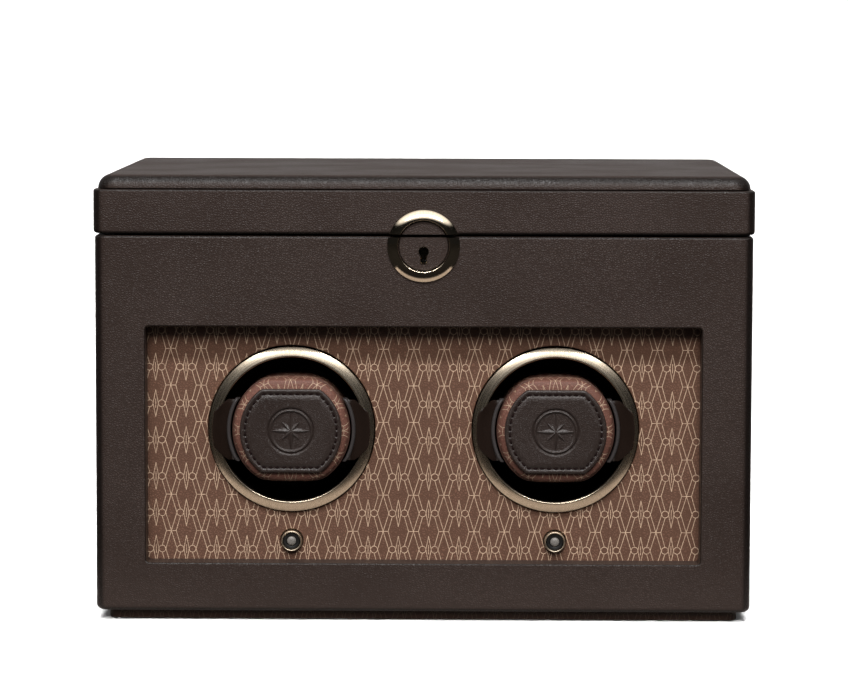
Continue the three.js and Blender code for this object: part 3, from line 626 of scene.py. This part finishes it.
def make_panel():
    thickness = PANEL_HIGH.y - PANEL_LOW.y
    outline = rounded_rect(PANEL_HIGH.x - PANEL_LOW.x, PANEL_HIGH.z - PANEL_LOW.z, 1, 2)
    centre = (PANEL_LOW.z + PANEL_HIGH.z) / 2
    rings = [[(a, y, centre + b) for a, b in outline] for y in (PANEL_LOW.y, PANEL_HIGH.y)]
    sheet = stacked("panel_leather", rings)
    front, back, past = PANEL_LOW.y, PANEL_LOW.y + thickness, 3
    cutters = []
    for side in SIDES:
        ring_low, ring_high = spans("drum_ring_" + side)
        ring_hole = (ring_high.x - ring_low.x) / 2 + 0.6
        for node, radius, roll in (("drum_ring_", ring_hole, 0.8), ("button_lens_", 5.7, 0.4)):
            spot = middle(node + side)
            profile = [(0, front - past), (radius + roll, front - past)]
            profile += [(radius + inset, front + rise) for inset, rise in rounding(roll)]
            profile += [(radius, back + past), (0, back + past)]
            cutters.append(lathe("hole", profile, spot.x, spot.z))
    carve(sheet, *cutters)
    settle(sheet, "root", ("module_panel",), PANEL_PRINT, weighted=True)


# ---- lid ----

def make_lid():
    band = slab("lid_band_leather", LID_W, LID_D, CORNER, LID_LOW.z, LID_HIGH.z, 1.8, 0.9)
    far = LID_HIGH.x - WALL, LID_HIGH.y - WALL, TALL
    inside = block("inside", (LID_LOW.x + WALL, LID_LOW.y + WALL, 0), far)
    plate_low, plate_high = spans("strike_plate")
    bed = block("bed", plate_low - Vector((GAP, GAP, 3)), plate_high + AIR)
    hook_room = block("hook_room", (-2, plate_low.y + 1, LID_LOW.z), (12.6, plate_high.y - 1, 194.5))
    carve(band, inside, bed, hook_room, *hinge_beds())
    settle(band, "lid", ("lid_band",), SHELL, weighted=True)

    w, d = TOP_HIGH.x - TOP_LOW.x, TOP_HIGH.y - TOP_LOW.y
    height = TOP_HIGH.z - TOP_LOW.z
    levels = [(0.6, TOP_LOW.z), (0.1, TOP_LOW.z + 0.25)]
    levels += [(inset, TOP_HIGH.z - rise) for inset, rise in reversed(rounding(height - 0.4, 12))]
    crease = ((0.3, 0.35), (1.0, 0.05), (1.8, 0))
    levels += [(height + inset, TOP_HIGH.z - below) for inset, below in crease]
    rings = [[(a, b, z) for a, b in rounded_rect(w - 2 * i, d - 2 * i, 9.0 - i, 10)] for i, z in levels]
    cap = stacked("lid_top_leather", rings)
    settle(cap, "lid", ("lid_top",), SHELL, 50, weighted=True)


# ---- round metalwork ----

def bevelled(inner, outer, foot_y, crest_y, fall, lip, even):
    """The profile of a ring whose face falls away outwards, ever steeper, from a rounded inner lip.

    even is 1 for a straight cone and less for a rounder face.
    """
    steps = 12
    face = []
    for t in (i / steps for i in range(steps + 1)):
        drop = fall * (even * t + (1 - even) * t * t)
        face.append((inner + lip + (outer - inner - lip) * t, crest_y + drop))
    return [(inner, foot_y), *arc((inner + lip, crest_y + lip), lip, 180, 98, 6), *face, (outer, foot_y)]


def sliced(piece, point, normal, soften=0.0):
    """Keeps the part of a piece on the side its plane's normal points to, and closes the cut."""
    work = bmesh.new()
    work.from_mesh(piece.data)
    every = work.verts[:] + work.edges[:] + work.faces[:]
    plane = {"plane_co": Vector(point) * MM, "plane_no": normal}
    cut = bmesh.ops.bisect_plane(work, geom=every, clear_inner=True, **plane)
    edges = [e for e in cut["geom_cut"] if isinstance(e, bmesh.types.BMEdge)]
    bmesh.ops.holes_fill(work, edges=edges)
    if soften:
        bmesh.ops.bevel(work, geom=edges, offset=soften * MM, segments=2, affect="EDGES", clamp_overlap=True)
    work.to_mesh(piece.data)
    work.free()
    return piece


MEDAL = {"inner": 12.4, "disc": 12.0, "edge": 0.35, "liner": 2.6}


def make_medallion():
    low, high = spans("medallion_ring_lower")
    radius = (high.x - low.x) / 2
    centre = Vector((0, 0, low.z + radius))
    metal = brushed("medallion_metal", CHAMPAGNE, centre, rough=0.09)
    halves = (("lower", "root", (0, 0, -1), SEAM_LOW - 0.35), ("upper", "lid", (0, 0, 1), SEAM_HIGH + 0.2))
    for name, body, away, cut_z in halves:
        ring_back = spans("medallion_ring_" + name)[1].y
        profile = bevelled(MEDAL["inner"], radius, ring_back, low.y, 2.8, lip=0.5, even=0.42)
        ring = lathe("medallion_ring_domed_" + name, profile, 0, centre.z, 128, loop=True)
        sliced(ring, (0, 0, cut_z), away, 0.3)
        settle(ring, body, ("medallion_ring_" + name,), metal, 40)
        disc_low, disc_high = spans("medallion_disc_" + name)
        front, back, rim, edge = disc_low.y, disc_high.y, MEDAL["disc"], MEDAL["edge"]
        profile = [(0, back), (rim, back), (rim, front + edge), (rim - edge, front), (0, front)]
        disc = lathe("medallion_leather_" + name, profile, 0, centre.z, 128)
        sliced(disc, (0, 0, cut_z), away)
        if name == "lower":
            carve(disc, keyway_cutter(front - 2, back + 2))
        settle(disc, body, ("medallion_disc_" + name,), SHELL)
    deep = front + MEDAL["liner"]
    section = [(0.0, front + 0.25), (0.0, deep), (-0.35, deep), (-0.35, front + 0.5), (-0.2, front + 0.25)]
    liner = looped("keyhole_liner", keyway_outline, section)
    settle(liner, "root", (), metal, 40)


def make_ring(side):
    low, high, spot = measured("drum_ring_" + side)
    radius = (high.x - low.x) / 2
    metal = brushed("drum_ring_metal_" + side, CHAMPAGNE, spot)
    profile = bevelled(35.4, radius, high.y, low.y, 2.0, lip=0.45, even=0.73)
    ring = lathe("drum_ring_domed_" + side, profile, spot.x, spot.z, 160, loop=True)
    settle(ring, "drum_" + side, ("drum_ring_" + side,), metal, 50)

    cup_low, cup_high = spans("drum_cup_" + side)
    mouth, rear, outer = cup_low.y, -36.0, (cup_high.x - cup_low.x) / 2
    cup = [(0, rear + 1.2), (8, rear + 1.2), (8, rear), *arc((outer - 3, rear - 3), 3, -90, 0, 5),
           (outer, mouth), (outer - 1.8, mouth), *arc((outer - 5.8, rear - 6.4), 4, 0, -90, 5),
           (9, rear - 2.4), (9, rear - 11), (6.4, rear - 11), (6.4, rear - 4), (0, rear - 4)]
    shell = lathe("drum_cup_moulding_" + side, cup, spot.x, spot.z, 96)
    settle(shell, "drum_" + side, ("drum_cup_" + side,), BLACK)


def make_button(side):
    spot = middle("button_lens_" + side)
    metal = brushed("button_metal_" + side, CHAMPAGNE, spot, rough=0.38)
    bezel_low, bezel_high = spans("button_bezel_" + side)
    front, back = bezel_low.y, bezel_high.y
    crest = arc((4.675, front + 0.4), 0.375, 0, 180, 8)
    profile = [(4.3, back), (8, back), (8, back - 1.2), (5.05, back - 1.2), *crest]
    bezel = lathe("button_bezel_turned_" + side, profile, spot.x, spot.z, 64, loop=True)
    settle(bezel, "root", ("button_bezel_" + side,), metal, 50)

    cap_low, cap_high = spans("button_cap_" + side)
    face = cap_low.y
    cap = [(0, face + 1.4), (2.5, face + 1.4), (2.5, face + 0.5), *arc((2.75, face + 0.5), 0.25, 180, 90, 3),
           (3.55, face), *arc((3.6, face + 0.4), 0.4, 90, 0, 4), (4, face + 7.6), (5.5, face + 7.6),
           (5.5, face + 8.8), (2, face + 8.8), (2, cap_high.y), (0, cap_high.y)]
    button = lathe("button_cap_turned_" + side, cap, spot.x, spot.z, 64)
    settle(button, "button_" + side, ("button_cap_" + side,), BLACK)

    lens_low, lens_high = spans("button_lens_" + side)
    radius, rise = 2.25, 1.2
    edge_y = lens_low.y + rise
    dome = [(0, lens_high.y), (radius, lens_high.y), (radius, edge_y)]
    dome += [(radius * cos(a), edge_y - rise * sin(a)) for a in (i * math.pi / 16 for i in range(1, 9))]
    lens = lathe("button_lens_dome_" + side, dome, spot.x, spot.z, 64)
    settle(lens, "button_" + side, ("button_lens_" + side,), LENS, 60)


# ---- cuffs ----

def clipped_circle(radius, half, count=96):
    """A circle cut flat at the top and bottom, its corners softened, as (across, up) pairs."""
    points = []
    for a in turns(count):
        x, z = radius * cos(a), radius * sin(a)
        over = abs(z) / half
        if over > 1:
            x, z = x * (0.35 + 0.65 / over) if abs(x) > 1e-6 else x, math.copysign(half, z)
        points.append((x, z))
    return relaxed(points, 4)


def relaxed(points, rounds):
    """A closed outline, smoothed by averaging each point with its neighbours."""
    for _ in range(rounds):
        n = len(points)
        points = [tuple((points[i - 1][k] + 2 * points[i][k] + points[(i + 1) % n][k]) / 4 for k in (0, 1))
                  for i in range(n)]
    return points


def evenly(points, pitch):
    """Points a pitch apart along a closed outline, each with its direction."""
    loop = [Vector(p) for p in points] + [Vector(points[0])]
    lengths = [(b - a).length for a, b in zip(loop, loop[1:])]
    total = sum(lengths)
    count = round(total / pitch)
    placed = []
    for k in range(count):
        want = total * (k + 0.5) / count
        i = 0
        while want > lengths[i]:
            want -= lengths[i]
            i += 1
        step = (loop[i + 1] - loop[i]).normalized()
        placed.append((loop[i] + step * want, step))
    return placed


CLOTH = {"mass": 0.25, "tension_stiffness": 12, "compression_stiffness": 12, "bending_stiffness": 0.6}
CLOTH_FRAMES = 20


def inflated(piece, voxel, pressure, limit):
    """Fills a closed form like a cushion, by cloth simulation, and keeps each point within a limit."""
    remesh = piece.modifiers.new("remesh", "REMESH")
    remesh.mode = "VOXEL"
    remesh.voxel_size = voxel * MM
    bake(piece)
    start = [v.co.copy() for v in piece.data.vertices]
    settings = piece.modifiers.new("cloth", "CLOTH").settings
    settings.use_pressure = True
    settings.uniform_pressure_force = pressure
    settings.effector_weights.gravity = 0
    for key, value in CLOTH.items():
        setattr(settings, key, value)
    scene = bpy.context.scene
    for step in range(1, CLOTH_FRAMES + 1):
        scene.frame_set(step)
        bpy.context.evaluated_depsgraph_get()
    bake(piece)
    scene.frame_set(1)
    for vertex, home in zip(piece.data.vertices, start):
        move = vertex.co - home
        if move.length > limit * MM:
            vertex.co = home + move.normalized() * limit * MM
    finer = piece.modifiers.new("finer", "SUBSURF")
    finer.levels = finer.render_levels = 1
    return bake(piece)


def stitches(name, spots, y, length, width, proud):
    """A row of separate thread stitches, each a small rounded bar lying along its seam."""
    parts = []
    for at, along in spots:
        across = Vector((-along.y, along.x))
        rings = []
        for t, fat in ((-1, 0.35), (-0.8, 0.8), (0, 1), (0.8, 0.8), (1, 0.35)):
            base = at + along * (t * length / 2)
            sink = 0.22 * t * t
            ring = []
            for a in turns(8):
                aside = cos(a) * fat * width / 2
                lift = sink - sin(a) * fat * proud
                ring.append((base.x + across.x * aside, y + lift, base.y + across.y * aside))
            rings.append(ring)
        parts.append(stacked("stitch", rings))
    return fused(name, parts)


EMBLEM = {
    "ring": 10.9, "groove": 0.9, "groove_width": 0.5, "field": 9.9, "edge": 0.6, "sunk": 0.9,
    "long": 8.9, "short": 5.8, "half_width": 2.2, "raised": 1.25,
}


def emblem_depth(x, z):
    """How deep a point of the pressed compass star lies; x and z are from its middle."""
    r = math.hypot(x, z)
    groove = EMBLEM["groove"] * math.exp(-((r - EMBLEM["ring"]) / EMBLEM["groove_width"]) ** 2)
    edge = EMBLEM["edge"]
    field = EMBLEM["sunk"] * (1 - min(1, max(0, (r - EMBLEM["field"] + edge) / edge)))
    star = 0
    for k, a in enumerate(turns(8)):
        along, across = x * cos(a) + z * sin(a), abs(z * cos(a) - x * sin(a))
        reach = EMBLEM["long"] if k % 2 == 0 else EMBLEM["short"]
        half = EMBLEM["half_width"] * (1 - along / reach)
        if along >= 0 and half > 0:
            slope = min(1, 0.35 + 0.65 * (1 - along / reach))
            star = max(star, EMBLEM["raised"] * (1 - across / half) * slope)
    return groove + field - star


FACE_SEAM = 2.5
STITCH = 3.2


def make_face(side, spot):
    """The stitched face of the cuff, with its pressed emblem."""
    low, high = spans("cuff_face_" + side)
    half, front = (high - low) / 2, low.y
    border = [(0.5, high.y + 0.9), (0, high.y - 0.4), (0.1, front + 1.0), (0.5, front + 0.45),
              (1.0, front + 0.25), (1.5, front + 0.32), (1.9, front + 0.6), (FACE_SEAM, front + 1.2),
              (3.1, front + 0.6), (3.6, front + 0.28), (4.4, front + 0.1)]
    count = 384
    seam = clipped_circle(half.x - FACE_SEAM, half.z - FACE_SEAM, count)
    steps = [math.dist(a, b) for a, b in zip(seam, seam[1:] + seam[:1])]
    total, run, bridges = sum(steps), 0, []
    stitch_count = round(total / STITCH)
    for step in steps:
        phase = run / total * stitch_count % 1
        bridges.append(max(0, 1 - min(phase, 1 - phase) / 0.2))
        run += step
    rings = []
    for inset, y in border:
        lift = 0.75 if inset == FACE_SEAM else 0.12 if inset in (1.9, 3.1) else 0
        outline = clipped_circle(half.x - inset, half.z - inset, count)
        depths = [y - lift * bridge for bridge in bridges]
        rings.append([(spot.x + a, depth, spot.z + b) for (a, b), depth in zip(outline, depths)])
    field = clipped_circle(half.x - 5, half.z - 5, count)
    circles = 56
    for k in range(circles):
        t = 1 - k / circles
        circle = [(a * t, b * t) for a, b in field]
        rings.append([(spot.x + a, front + emblem_depth(a, b), spot.z + b) for a, b in circle])
    face = stacked("cuff_face_leather_" + side, rings)
    settle(face, "cuff_" + side, ("cuff_face_" + side,), FACE, 45)

    line = evenly([(spot.x + a, spot.z + b) for a, b in seam], STITCH)
    thread = stitches("cuff_stitches_" + side, line, front + 0.8, length=2.2, width=1.1, proud=0.45)
    settle(thread, "cuff_" + side, (), THREAD, 60)


def make_cuff(side):
    body = "cuff_" + side
    low, high, spot = measured("cuff_cushion_" + side)
    half_w, half_h = (high.x - low.x) / 2, (high.z - low.z) / 2

    levels = [(inset, low.y + 0.7 + rise) for inset, rise in rounding(3.6)]
    levels += [(inset, high.y - rise) for inset, rise in reversed(rounding(2.0))]
    rings = []
    for inset, y in levels:
        shape = clipped_circle(half_w - 0.7 - inset, half_h + 0.3 - inset)
        rings.append(upright(shape, y, spot))
    cushion = stacked("cuff_padding_" + side, rings)
    inflated(cushion, 2.6, 4.0, 0.6)
    wrap = patterned("cuff_print_" + side, (0.156, 0.069, 0.050), scaled(TAN, 0.8), roll_uv(spot), rough=0.5)
    settle(cushion, body, ("cuff_cushion_" + side,), wrap, 60)

    def rim(widen):
        return [(spot.x + a, spot.z + b) for a, b in clipped_circle(half_w + widen, half_h + 0.3 + widen)]

    thick = 0.55
    bead = [(-0.9 + thick * cos(a), low.y + 4.6 + thick * sin(a)) for a in turns(8)]
    piping = looped("cuff_piping_" + side, rim, bead)
    settle(piping, body, (), PIPING, 60)
    make_face(side, spot)
    make_yoke(side, spot)


def make_yoke(side, spot):
    """The moulded yoke: two arms beside the cushion, each ending in a wing that rests over the ring."""
    low, high = spans("cuff_yoke_" + side)
    half = (high.z - low.z) / 2
    front = low.y
    plate_y = -52.4
    wing = [(29.6, plate_y), (29.6, front + 1.2), *arc((30.3, front + 1.1), 0.7, 180, 60, 5),
            (31.2, front + 1.2), (32.6, front + 1.5), (34.2, front + 1.35), (35.6, front + 0.85),
            (36.6, front + 0.25), *arc((37.7, front + 0.7), 0.7, 110, -40, 7), (36.8, front + 1.75),
            (35.1, front + 2.0), (34.8, front + 3.2), (34.0, front + 3.6), (31.2, front + 3.8),
            (31.2, plate_y)]

    def both_sides(section, reach):
        made = []
        for turn in (-1, 1):
            rings = []
            for step in range(33):
                t = step / 16 - 1
                corner = max(0, abs(t) - 0.86) / 0.14
                ring = []
                for r, y in section:
                    z = t * (reach - 5.4 * min(1, max(0, (r - 34.6) / 3.6)))
                    ring.append((spot.x + turn * (math.sqrt(r * r - z * z) - 0.3 * corner ** 2),
                                 y + 0.35 * corner ** 2, spot.z + z))
                rings.append(ring)
            made.append(stacked("wing", rings))
        return made

    parts = both_sides(wing, half + 0.3)
    cheek = [(29.5, front + 7), (29.5, front + 0.9), *arc((30.3, front + 0.8), 0.8, 180, 20, 6),
             (31.3, front + 1.0), (31.3, front + 7)]
    cheeks = fused("cuff_cheeks_" + side, both_sides(cheek, half + 0.8))
    settle(cheeks, "cuff_" + side, (), CHEEK, 60)
    plate = rounded_rect(59.6, 2 * half, 2, 4)
    parts.append(stacked("plate", [upright(plate, y, spot) for y in (-54.2, -52.2)]))
    parts.append(lathe("stem", [(0, -52.3), (6, -52.3), (6, high.y), (0, high.y)], spot.x, spot.z, 32))
    yoke = fused("cuff_yoke_moulding_" + side, parts)
    settle(yoke, "cuff_" + side, ("cuff_yoke_" + side,), GLOSS, 40)


# ---- storage and what the box holds inside ----

def make_storage():
    def fat(value):
        return math.copysign(abs(value) ** 0.75, value)

    oval = [(fat(cos(a)), fat(sin(a))) for a in turns(48)]
    for name in ("left", "middle", "right"):
        low, high, centre = measured("pillow_" + name)
        half = (high - low) / 2
        rings = []
        for step in range(13):
            t = step / 6 - 1
            squeeze = 1 - 0.16 * abs(t) ** 3
            across, up = (half.y - 3) * squeeze, (half.z - 2.5) * squeeze
            x = centre.x + t * (half.x - 1.5)
            rings.append([(x, centre.y + u * across, centre.z + v * up) for u, v in oval])
        pillow = stacked("pillow_padding_" + name, rings)
        inflated(pillow, 5.0, 4.0, 2.4)
        settle(pillow, "root", ("pillow_" + name,), PILLOW_HIDE, 60)


def make_tray():
    """The cloth-covered tray wall and its dividers, their top edges rolled over."""
    low, high = spans("tray_liner")
    w, d = high.x - low.x, high.y - low.y
    wall, roll = 3.0, 1.45
    section = [(0, low.z), *[(-inset, high.z - rise) for inset, rise in reversed(rounding(roll, 6))],
               *[(-wall + inset, high.z - rise) for inset, rise in rounding(roll, 6)], (-wall, low.z)]
    centre_y = (low.y + high.y) / 2

    def edge(widen):
        return [(a, centre_y + b) for a, b in rounded_rect(w + 2 * widen, d + 2 * widen, 4.5 + widen, 6)]

    liner = looped("tray_cloth", edge, section, lying=True)
    settle(liner, "root", ("tray_liner",), LINING, 60)

    low, high = spans("tray_dividers")
    thick = 4.0
    parts = [slab("divider", high.x - low.x, thick, 0.5, low.z, high.z, 0.1, 1.9, y=high.y - thick / 2)]
    short_x = 48.0
    for x in (-short_x, short_x):
        depth = high.y - low.y - thick
        parts.append(slab("divider", thick, depth, 0.5, low.z, high.z, 0.1, 1.9, x=x, y=low.y + depth / 2))
    settle(fused("tray_divider_cloth", parts), "root", ("tray_dividers",), LINING, 60)


def make_lid_pad():
    """The padded lining under the lid's top, swollen by cloth simulation and sewn in six panels."""
    low, high = spans("lid_lining")
    w, d = high.x - low.x, high.y - low.y
    pad = slab("lid_pad", w - 0.6, d - 0.6, 3, low.z + 0.6, high.z - 0.1, 1.4, 0.4)
    inflated(pad, 4.0, 3.0, 1.4)
    for vertex in pad.data.vertices:
        x, y, z = vertex.co / MM
        if z < (low.z + high.z) / 2:
            gap = min(abs(abs(x) - w / 6), abs(y))
            vertex.co.z += 2.0 * math.exp(-(gap / 2.2) ** 2) * MM
    settle(pad, "lid", ("lid_lining",), LINING, 60)


# ---- fittings ----

def tube_x(name, x0, x1, y, z, outer, inner=0.0):
    """A round bar or tube lying across the box, its ends softened."""
    soft = 0.15
    profile = [(outer - soft, x0), (outer, x0 + soft), (outer, x1 - soft), (outer - soft, x1)]
    profile += [(inner, x1), (inner, x0)] if inner else []
    rings = [[(at, y + r * cos(a), z + r * sin(a)) for a in turns(48)] for r, at in profile]
    return stacked(name, rings, "joined" if inner else "capped")


def screws(name, spots, head, up, body):
    """Countersunk cross-head screws, their heads just proud of a face that looks up or down."""
    profile = [(head, 0), (head, 0.12), (head * 0.8, 0.3), (0.32 * head, 0.36), (0.12 * head, -0.25)]
    parts = []
    for x, y, z in spots:
        rings = []
        for k, (r, rise) in enumerate(profile):
            reaches = [r * (0.55 if k >= 3 and i % 6 else 1) for i in range(24)]
            rings.append([(x + reach * cos(a), y + reach * sin(a), z + up * rise)
                          for reach, a in zip(reaches, turns(24))])
        parts.append(stacked("screw", rings))
    settle(fused(name, parts), body, (), STEEL, 35)


HINGE = {"thick": 1.2, "barrel": 2.2, "bore": 1.2, "knuckle": 5.5, "split": 0.5, "offset": 0.7}
PIN = {"radius": 0.9, "head": 1.6, "head_t": 0.6}


def make_hinges():
    thick, barrel, bore, knuckle, split, offset = HINGE.values()
    radius, head, head_t = PIN.values()
    for side in SIDES:
        pin_low, pin_high, axis = measured("hinge_pin_" + side)
        y, z = axis.y, axis.z
        for leaf, body, up in (("hinge_case_leaf_", "root", 1), ("hinge_lid_leaf_", "lid", -1)):
            low, high, centre = measured(leaf + side)
            x = centre.x
            plate_z = z - offset - thick if up > 0 else z + offset
            plate_top = plate_z + thick
            plate_end = y - barrel - GAP
            parts = [slab("leaf", high.x - low.x, plate_end - low.y, 1.2, plate_z, plate_top, 0.15, 0.15,
                          x=x, y=(plate_end + low.y) / 2)]
            runs = [(x - knuckle, x + knuckle)]
            if up < 0:
                runs = [(low.x, x - knuckle - split), (x + knuckle + split, high.x)]
            for x0, x1 in runs:
                parts.append(tube_x("knuckle", x0, x1, y, z, barrel, bore))
                parts.append(block("tongue", (x0, plate_end - 0.5, plate_z), (x1, y - bore - GAP, plate_top)))
            settle(fused(leaf + "turned_" + side, parts), body, (leaf + side,), BRASS, 35)
            face_z = plate_top if up > 0 else plate_z
            spots = [(x + across, low.y + 3.6, face_z) for across in (-12, 0, 12)]
            screws(leaf + "screws_" + side, spots, 1.5, up * 0.6, body)
        pin = tube_x("pin", pin_low.x + head_t, pin_high.x - head_t, y, z, radius)
        heads = [tube_x("head", x0, x0 + head_t, y, z, head) for x0 in (pin_low.x, pin_high.x - head_t)]
        turned = fused("hinge_pin_turned_" + side, [pin, *heads])
        settle(turned, "root", ("hinge_pin_" + side,), STEEL, 35)


def make_jack():
    """The power inlet: a round flange outside the back, a socket, and its centre pin."""
    low, high, spot = measured("power_jack")
    rim, face = high.y - 1.2, high.y
    profile = [(0, low.y), (6, low.y), (6, rim), (8, rim), *arc((7.5, face - 0.5), 0.5, 0, -90, 4),
               (3.6, face), (3.2, face - 0.4), (3.2, face - 11.5), (1, face - 11.5), (1, face - 2.8),
               (0.6, face - 2.4), (0, face - 2.4)]
    jack = lathe("power_inlet_moulding", profile, spot.x, spot.z, 64)
    settle(jack, "root", ("power_jack",), BLACK, 35)


def make_strike():
    low, high = spans("strike_plate")
    spots = [(x, (low.y + high.y) / 2, low.z) for x in (low.x + 4.5, high.x - 2.7)]
    screws("strike_plate_screws", spots, 1.3, -0.5, "lid")


def dress_cad_nodes():
    """Gives every CAD node that stays its material."""
    looks = {
        "shell_leather": SHELL, "pattern_leather": SHADED_PLINTH_PRINT, "pillow_leather": PILLOW_HIDE,
        "cuff_leather": FACE, "lining": LINING, "champagne_metal": BRASS, "black_plastic": BLACK,
        "brown_plastic": GLOSS, "steel": STEEL, "brass": BRASS, "acetal": ACETAL, "circuit_board": BOARD,
        "board": FIBRE, "lens": LENS,
    }
    for part in frame["record"]["subparts"]:
        node = frame["nodes"][part["node"]]
        node.data.materials.clear()
        node.data.materials.append(looks[part["material_slot"]])
    # The rotor seen through the keyhole is made near-black, as painted shade for the keyhole's depth.
    frame["nodes"]["lock_rotor"].data.materials[0] = KEYHOLE_SHADE_METAL
    frame["nodes"]["storage_floor"].data.materials[0] = LINING


# ---- floor, light and camera ----

REACH = 30000  # how far the floor and the card run from the box


def ground_sheet(name, height, look):
    corners = ((-REACH, -REACH), (REACH, -REACH), (REACH, REACH), (-REACH, REACH))
    sheet = add_mesh(name, [(x, y, height) for x, y in corners], [(0, 1, 2, 3)])
    sheet.data.materials.append(look.material)
    return sheet


def make_floor():
    look = Shader("pale_floor")
    look.set(Base_Color=(0.9, 0.9, 0.9, 1), Roughness=0.9, Specular_IOR_Level=0.1)
    floor = ground_sheet("floor", 0, look)
    floor.visible_diffuse = False
    return floor


def make_card():
    """A card on the floor, seen only by reflections: pale beside the box and black further out."""
    look = Shader("graded_card")
    x, y, _ = look.split(look.place())
    aside = look.minus(look.calc("ABSOLUTE", x), 0.05)
    away = look.calc("MAXIMUM", aside, look.calc("ABSOLUTE", y))
    tone = look.mix(look.ramp(away, 0.142, 0.176), (0.46, 0.40, 0.36), (0.012, 0.011, 0.010))
    look.set(Base_Color=tone, Roughness=1.0, Specular_IOR_Level=0.0)
    card = ground_sheet("graded_card", 1, look)
    card.visible_camera = card.visible_diffuse = card.visible_shadow = card.visible_transmission = False


# How bright the sky is to each kind of ray.
SKY = {
    "camera": 1.3, "diffuse_up": 0.26, "diffuse_down": 0.05, "top_front": 1.7, "behind": 0.44, "dark": 0.012,
}


def make_world():
    """A studio dome: white to the camera, soft to matt faces, and a bright front ceiling to polished ones."""
    world = bpy.data.worlds.new("studio")
    world.use_nodes = True
    bpy.context.scene.world = world
    nodes = Nodes(world.node_tree)
    back = world.node_tree.nodes["Background"].inputs
    back["Color"].default_value = (1, 1, 1, 1)
    _, y, z = nodes.split(nodes.add("ShaderNodeTexCoord").outputs["Generated"])
    seen = nodes.add("ShaderNodeLightPath").outputs

    def pick(factor, a, b):
        return nodes.add("ShaderNodeMix", {"Factor": factor, "A": a, "B": b}).outputs["Result"]

    above = nodes.ramp(z, 0.50, 0.70, 0.0, SKY["top_front"])
    ceiling = nodes.times(above, nodes.ramp(y, -0.28, -0.04, 1.0, 0.08))
    far = nodes.ramp(y, 0.3, 0.8, SKY["dark"], SKY["behind"])
    behind = nodes.times(far, nodes.ramp(z, 0.15, 0.6, 1.0, 0.3))
    glossy = nodes.calc("MAXIMUM", ceiling, behind)
    matt = nodes.ramp(z, -0.1, 0.2, SKY["diffuse_down"], SKY["diffuse_up"])
    reflected = pick(seen["Is Diffuse Ray"], glossy, matt)
    nodes.put(back["Strength"], pick(seen["Is Camera Ray"], reflected, SKY["camera"]))


def add_lamp(name, kind, energy, place, target=(0, 0, 0.1)):
    """A light at a place, aimed at a target, both in metres."""
    light = bpy.data.lights.new(name, kind)
    light.energy = energy
    lamp = bpy.data.objects.new(name, light)
    bpy.context.scene.collection.objects.link(lamp)
    lamp.location = place
    lamp.rotation_mode = "QUATERNION"
    lamp.rotation_quaternion = (Vector(target) - Vector(place)).to_track_quat("-Z", "Y")
    return lamp


def add_sun(name, energy, azimuth, elevation, angle):
    """A broad soft source that lights matt faces only; azimuth 0 is in front, 90 to the right."""
    a, e = math.radians(azimuth), math.radians(elevation)
    place = Vector((sin(a) * cos(e), -cos(a) * cos(e), sin(e))) * 3
    lamp = add_lamp(name, "SUN", energy, place, (0, 0, 0))
    lamp.data.angle = math.radians(angle)
    lamp.visible_glossy = False
    return lamp


def light_only(lamp, floor, state):
    """Keeps a lamp's light to the floor, or off it."""
    group = bpy.data.collections.new(lamp.name + "_reach")
    group.objects.link(floor)
    group.collection_objects[0].light_linking.link_state = state
    lamp.light_linking.receiver_collection = group


def make_lights(floor):
    add_sun("key", 2.36, 0, 33, 22)
    for name, azimuth in (("fill_left", -162), ("fill_right", 162)):
        light_only(add_sun(name, 1.3, azimuth, 35, 30), floor, "EXCLUDE")
    light_only(add_sun("floor_light", 4.5, 0, 78, 50), floor, "INCLUDE")
    strip = add_lamp("strip_softbox", "AREA", 18.0, (0, -0.85, 1.2))
    strip.data.shape = "RECTANGLE"
    strip.data.size, strip.data.size_y = 1.5, 0.14


# Places are in metres, the lens in millimetres and the roll in degrees.
CAMERA = {"aside": 0.021, "back": 1.70, "height": 0.294, "lens": 150.3, "aim": (0.0003, 0.1375), "roll": 0.16}


def make_camera():
    data = bpy.data.cameras.new("camera")
    data.lens = CAMERA["lens"]
    data.sensor_width = 36
    camera = bpy.data.objects.new("camera", data)
    bpy.context.scene.collection.objects.link(camera)
    front = FRONT_Y * MM
    camera.location = (CAMERA["aside"], front - CAMERA["back"], CAMERA["height"])
    aim = Vector((CAMERA["aim"][0], front, CAMERA["aim"][1]))
    facing = (aim - camera.location).to_track_quat("-Z", "Y").to_euler()
    facing.rotate_axis("Z", math.radians(CAMERA["roll"]))
    camera.rotation_euler = facing
    bpy.context.scene.camera = camera
    bpy.context.scene.view_settings.view_transform = "Standard"


# ---- making it all ----

make_camera()
dress_cad_nodes()
make_case()
make_panel()
make_lid()
make_medallion()
for side in SIDES:
    make_ring(side)
    make_button(side)
    make_cuff(side)
make_storage()
make_tray()
make_lid_pad()
make_hinges()
make_jack()
make_strike()
floor = make_floor()
make_card()
make_world()
make_lights(floor)
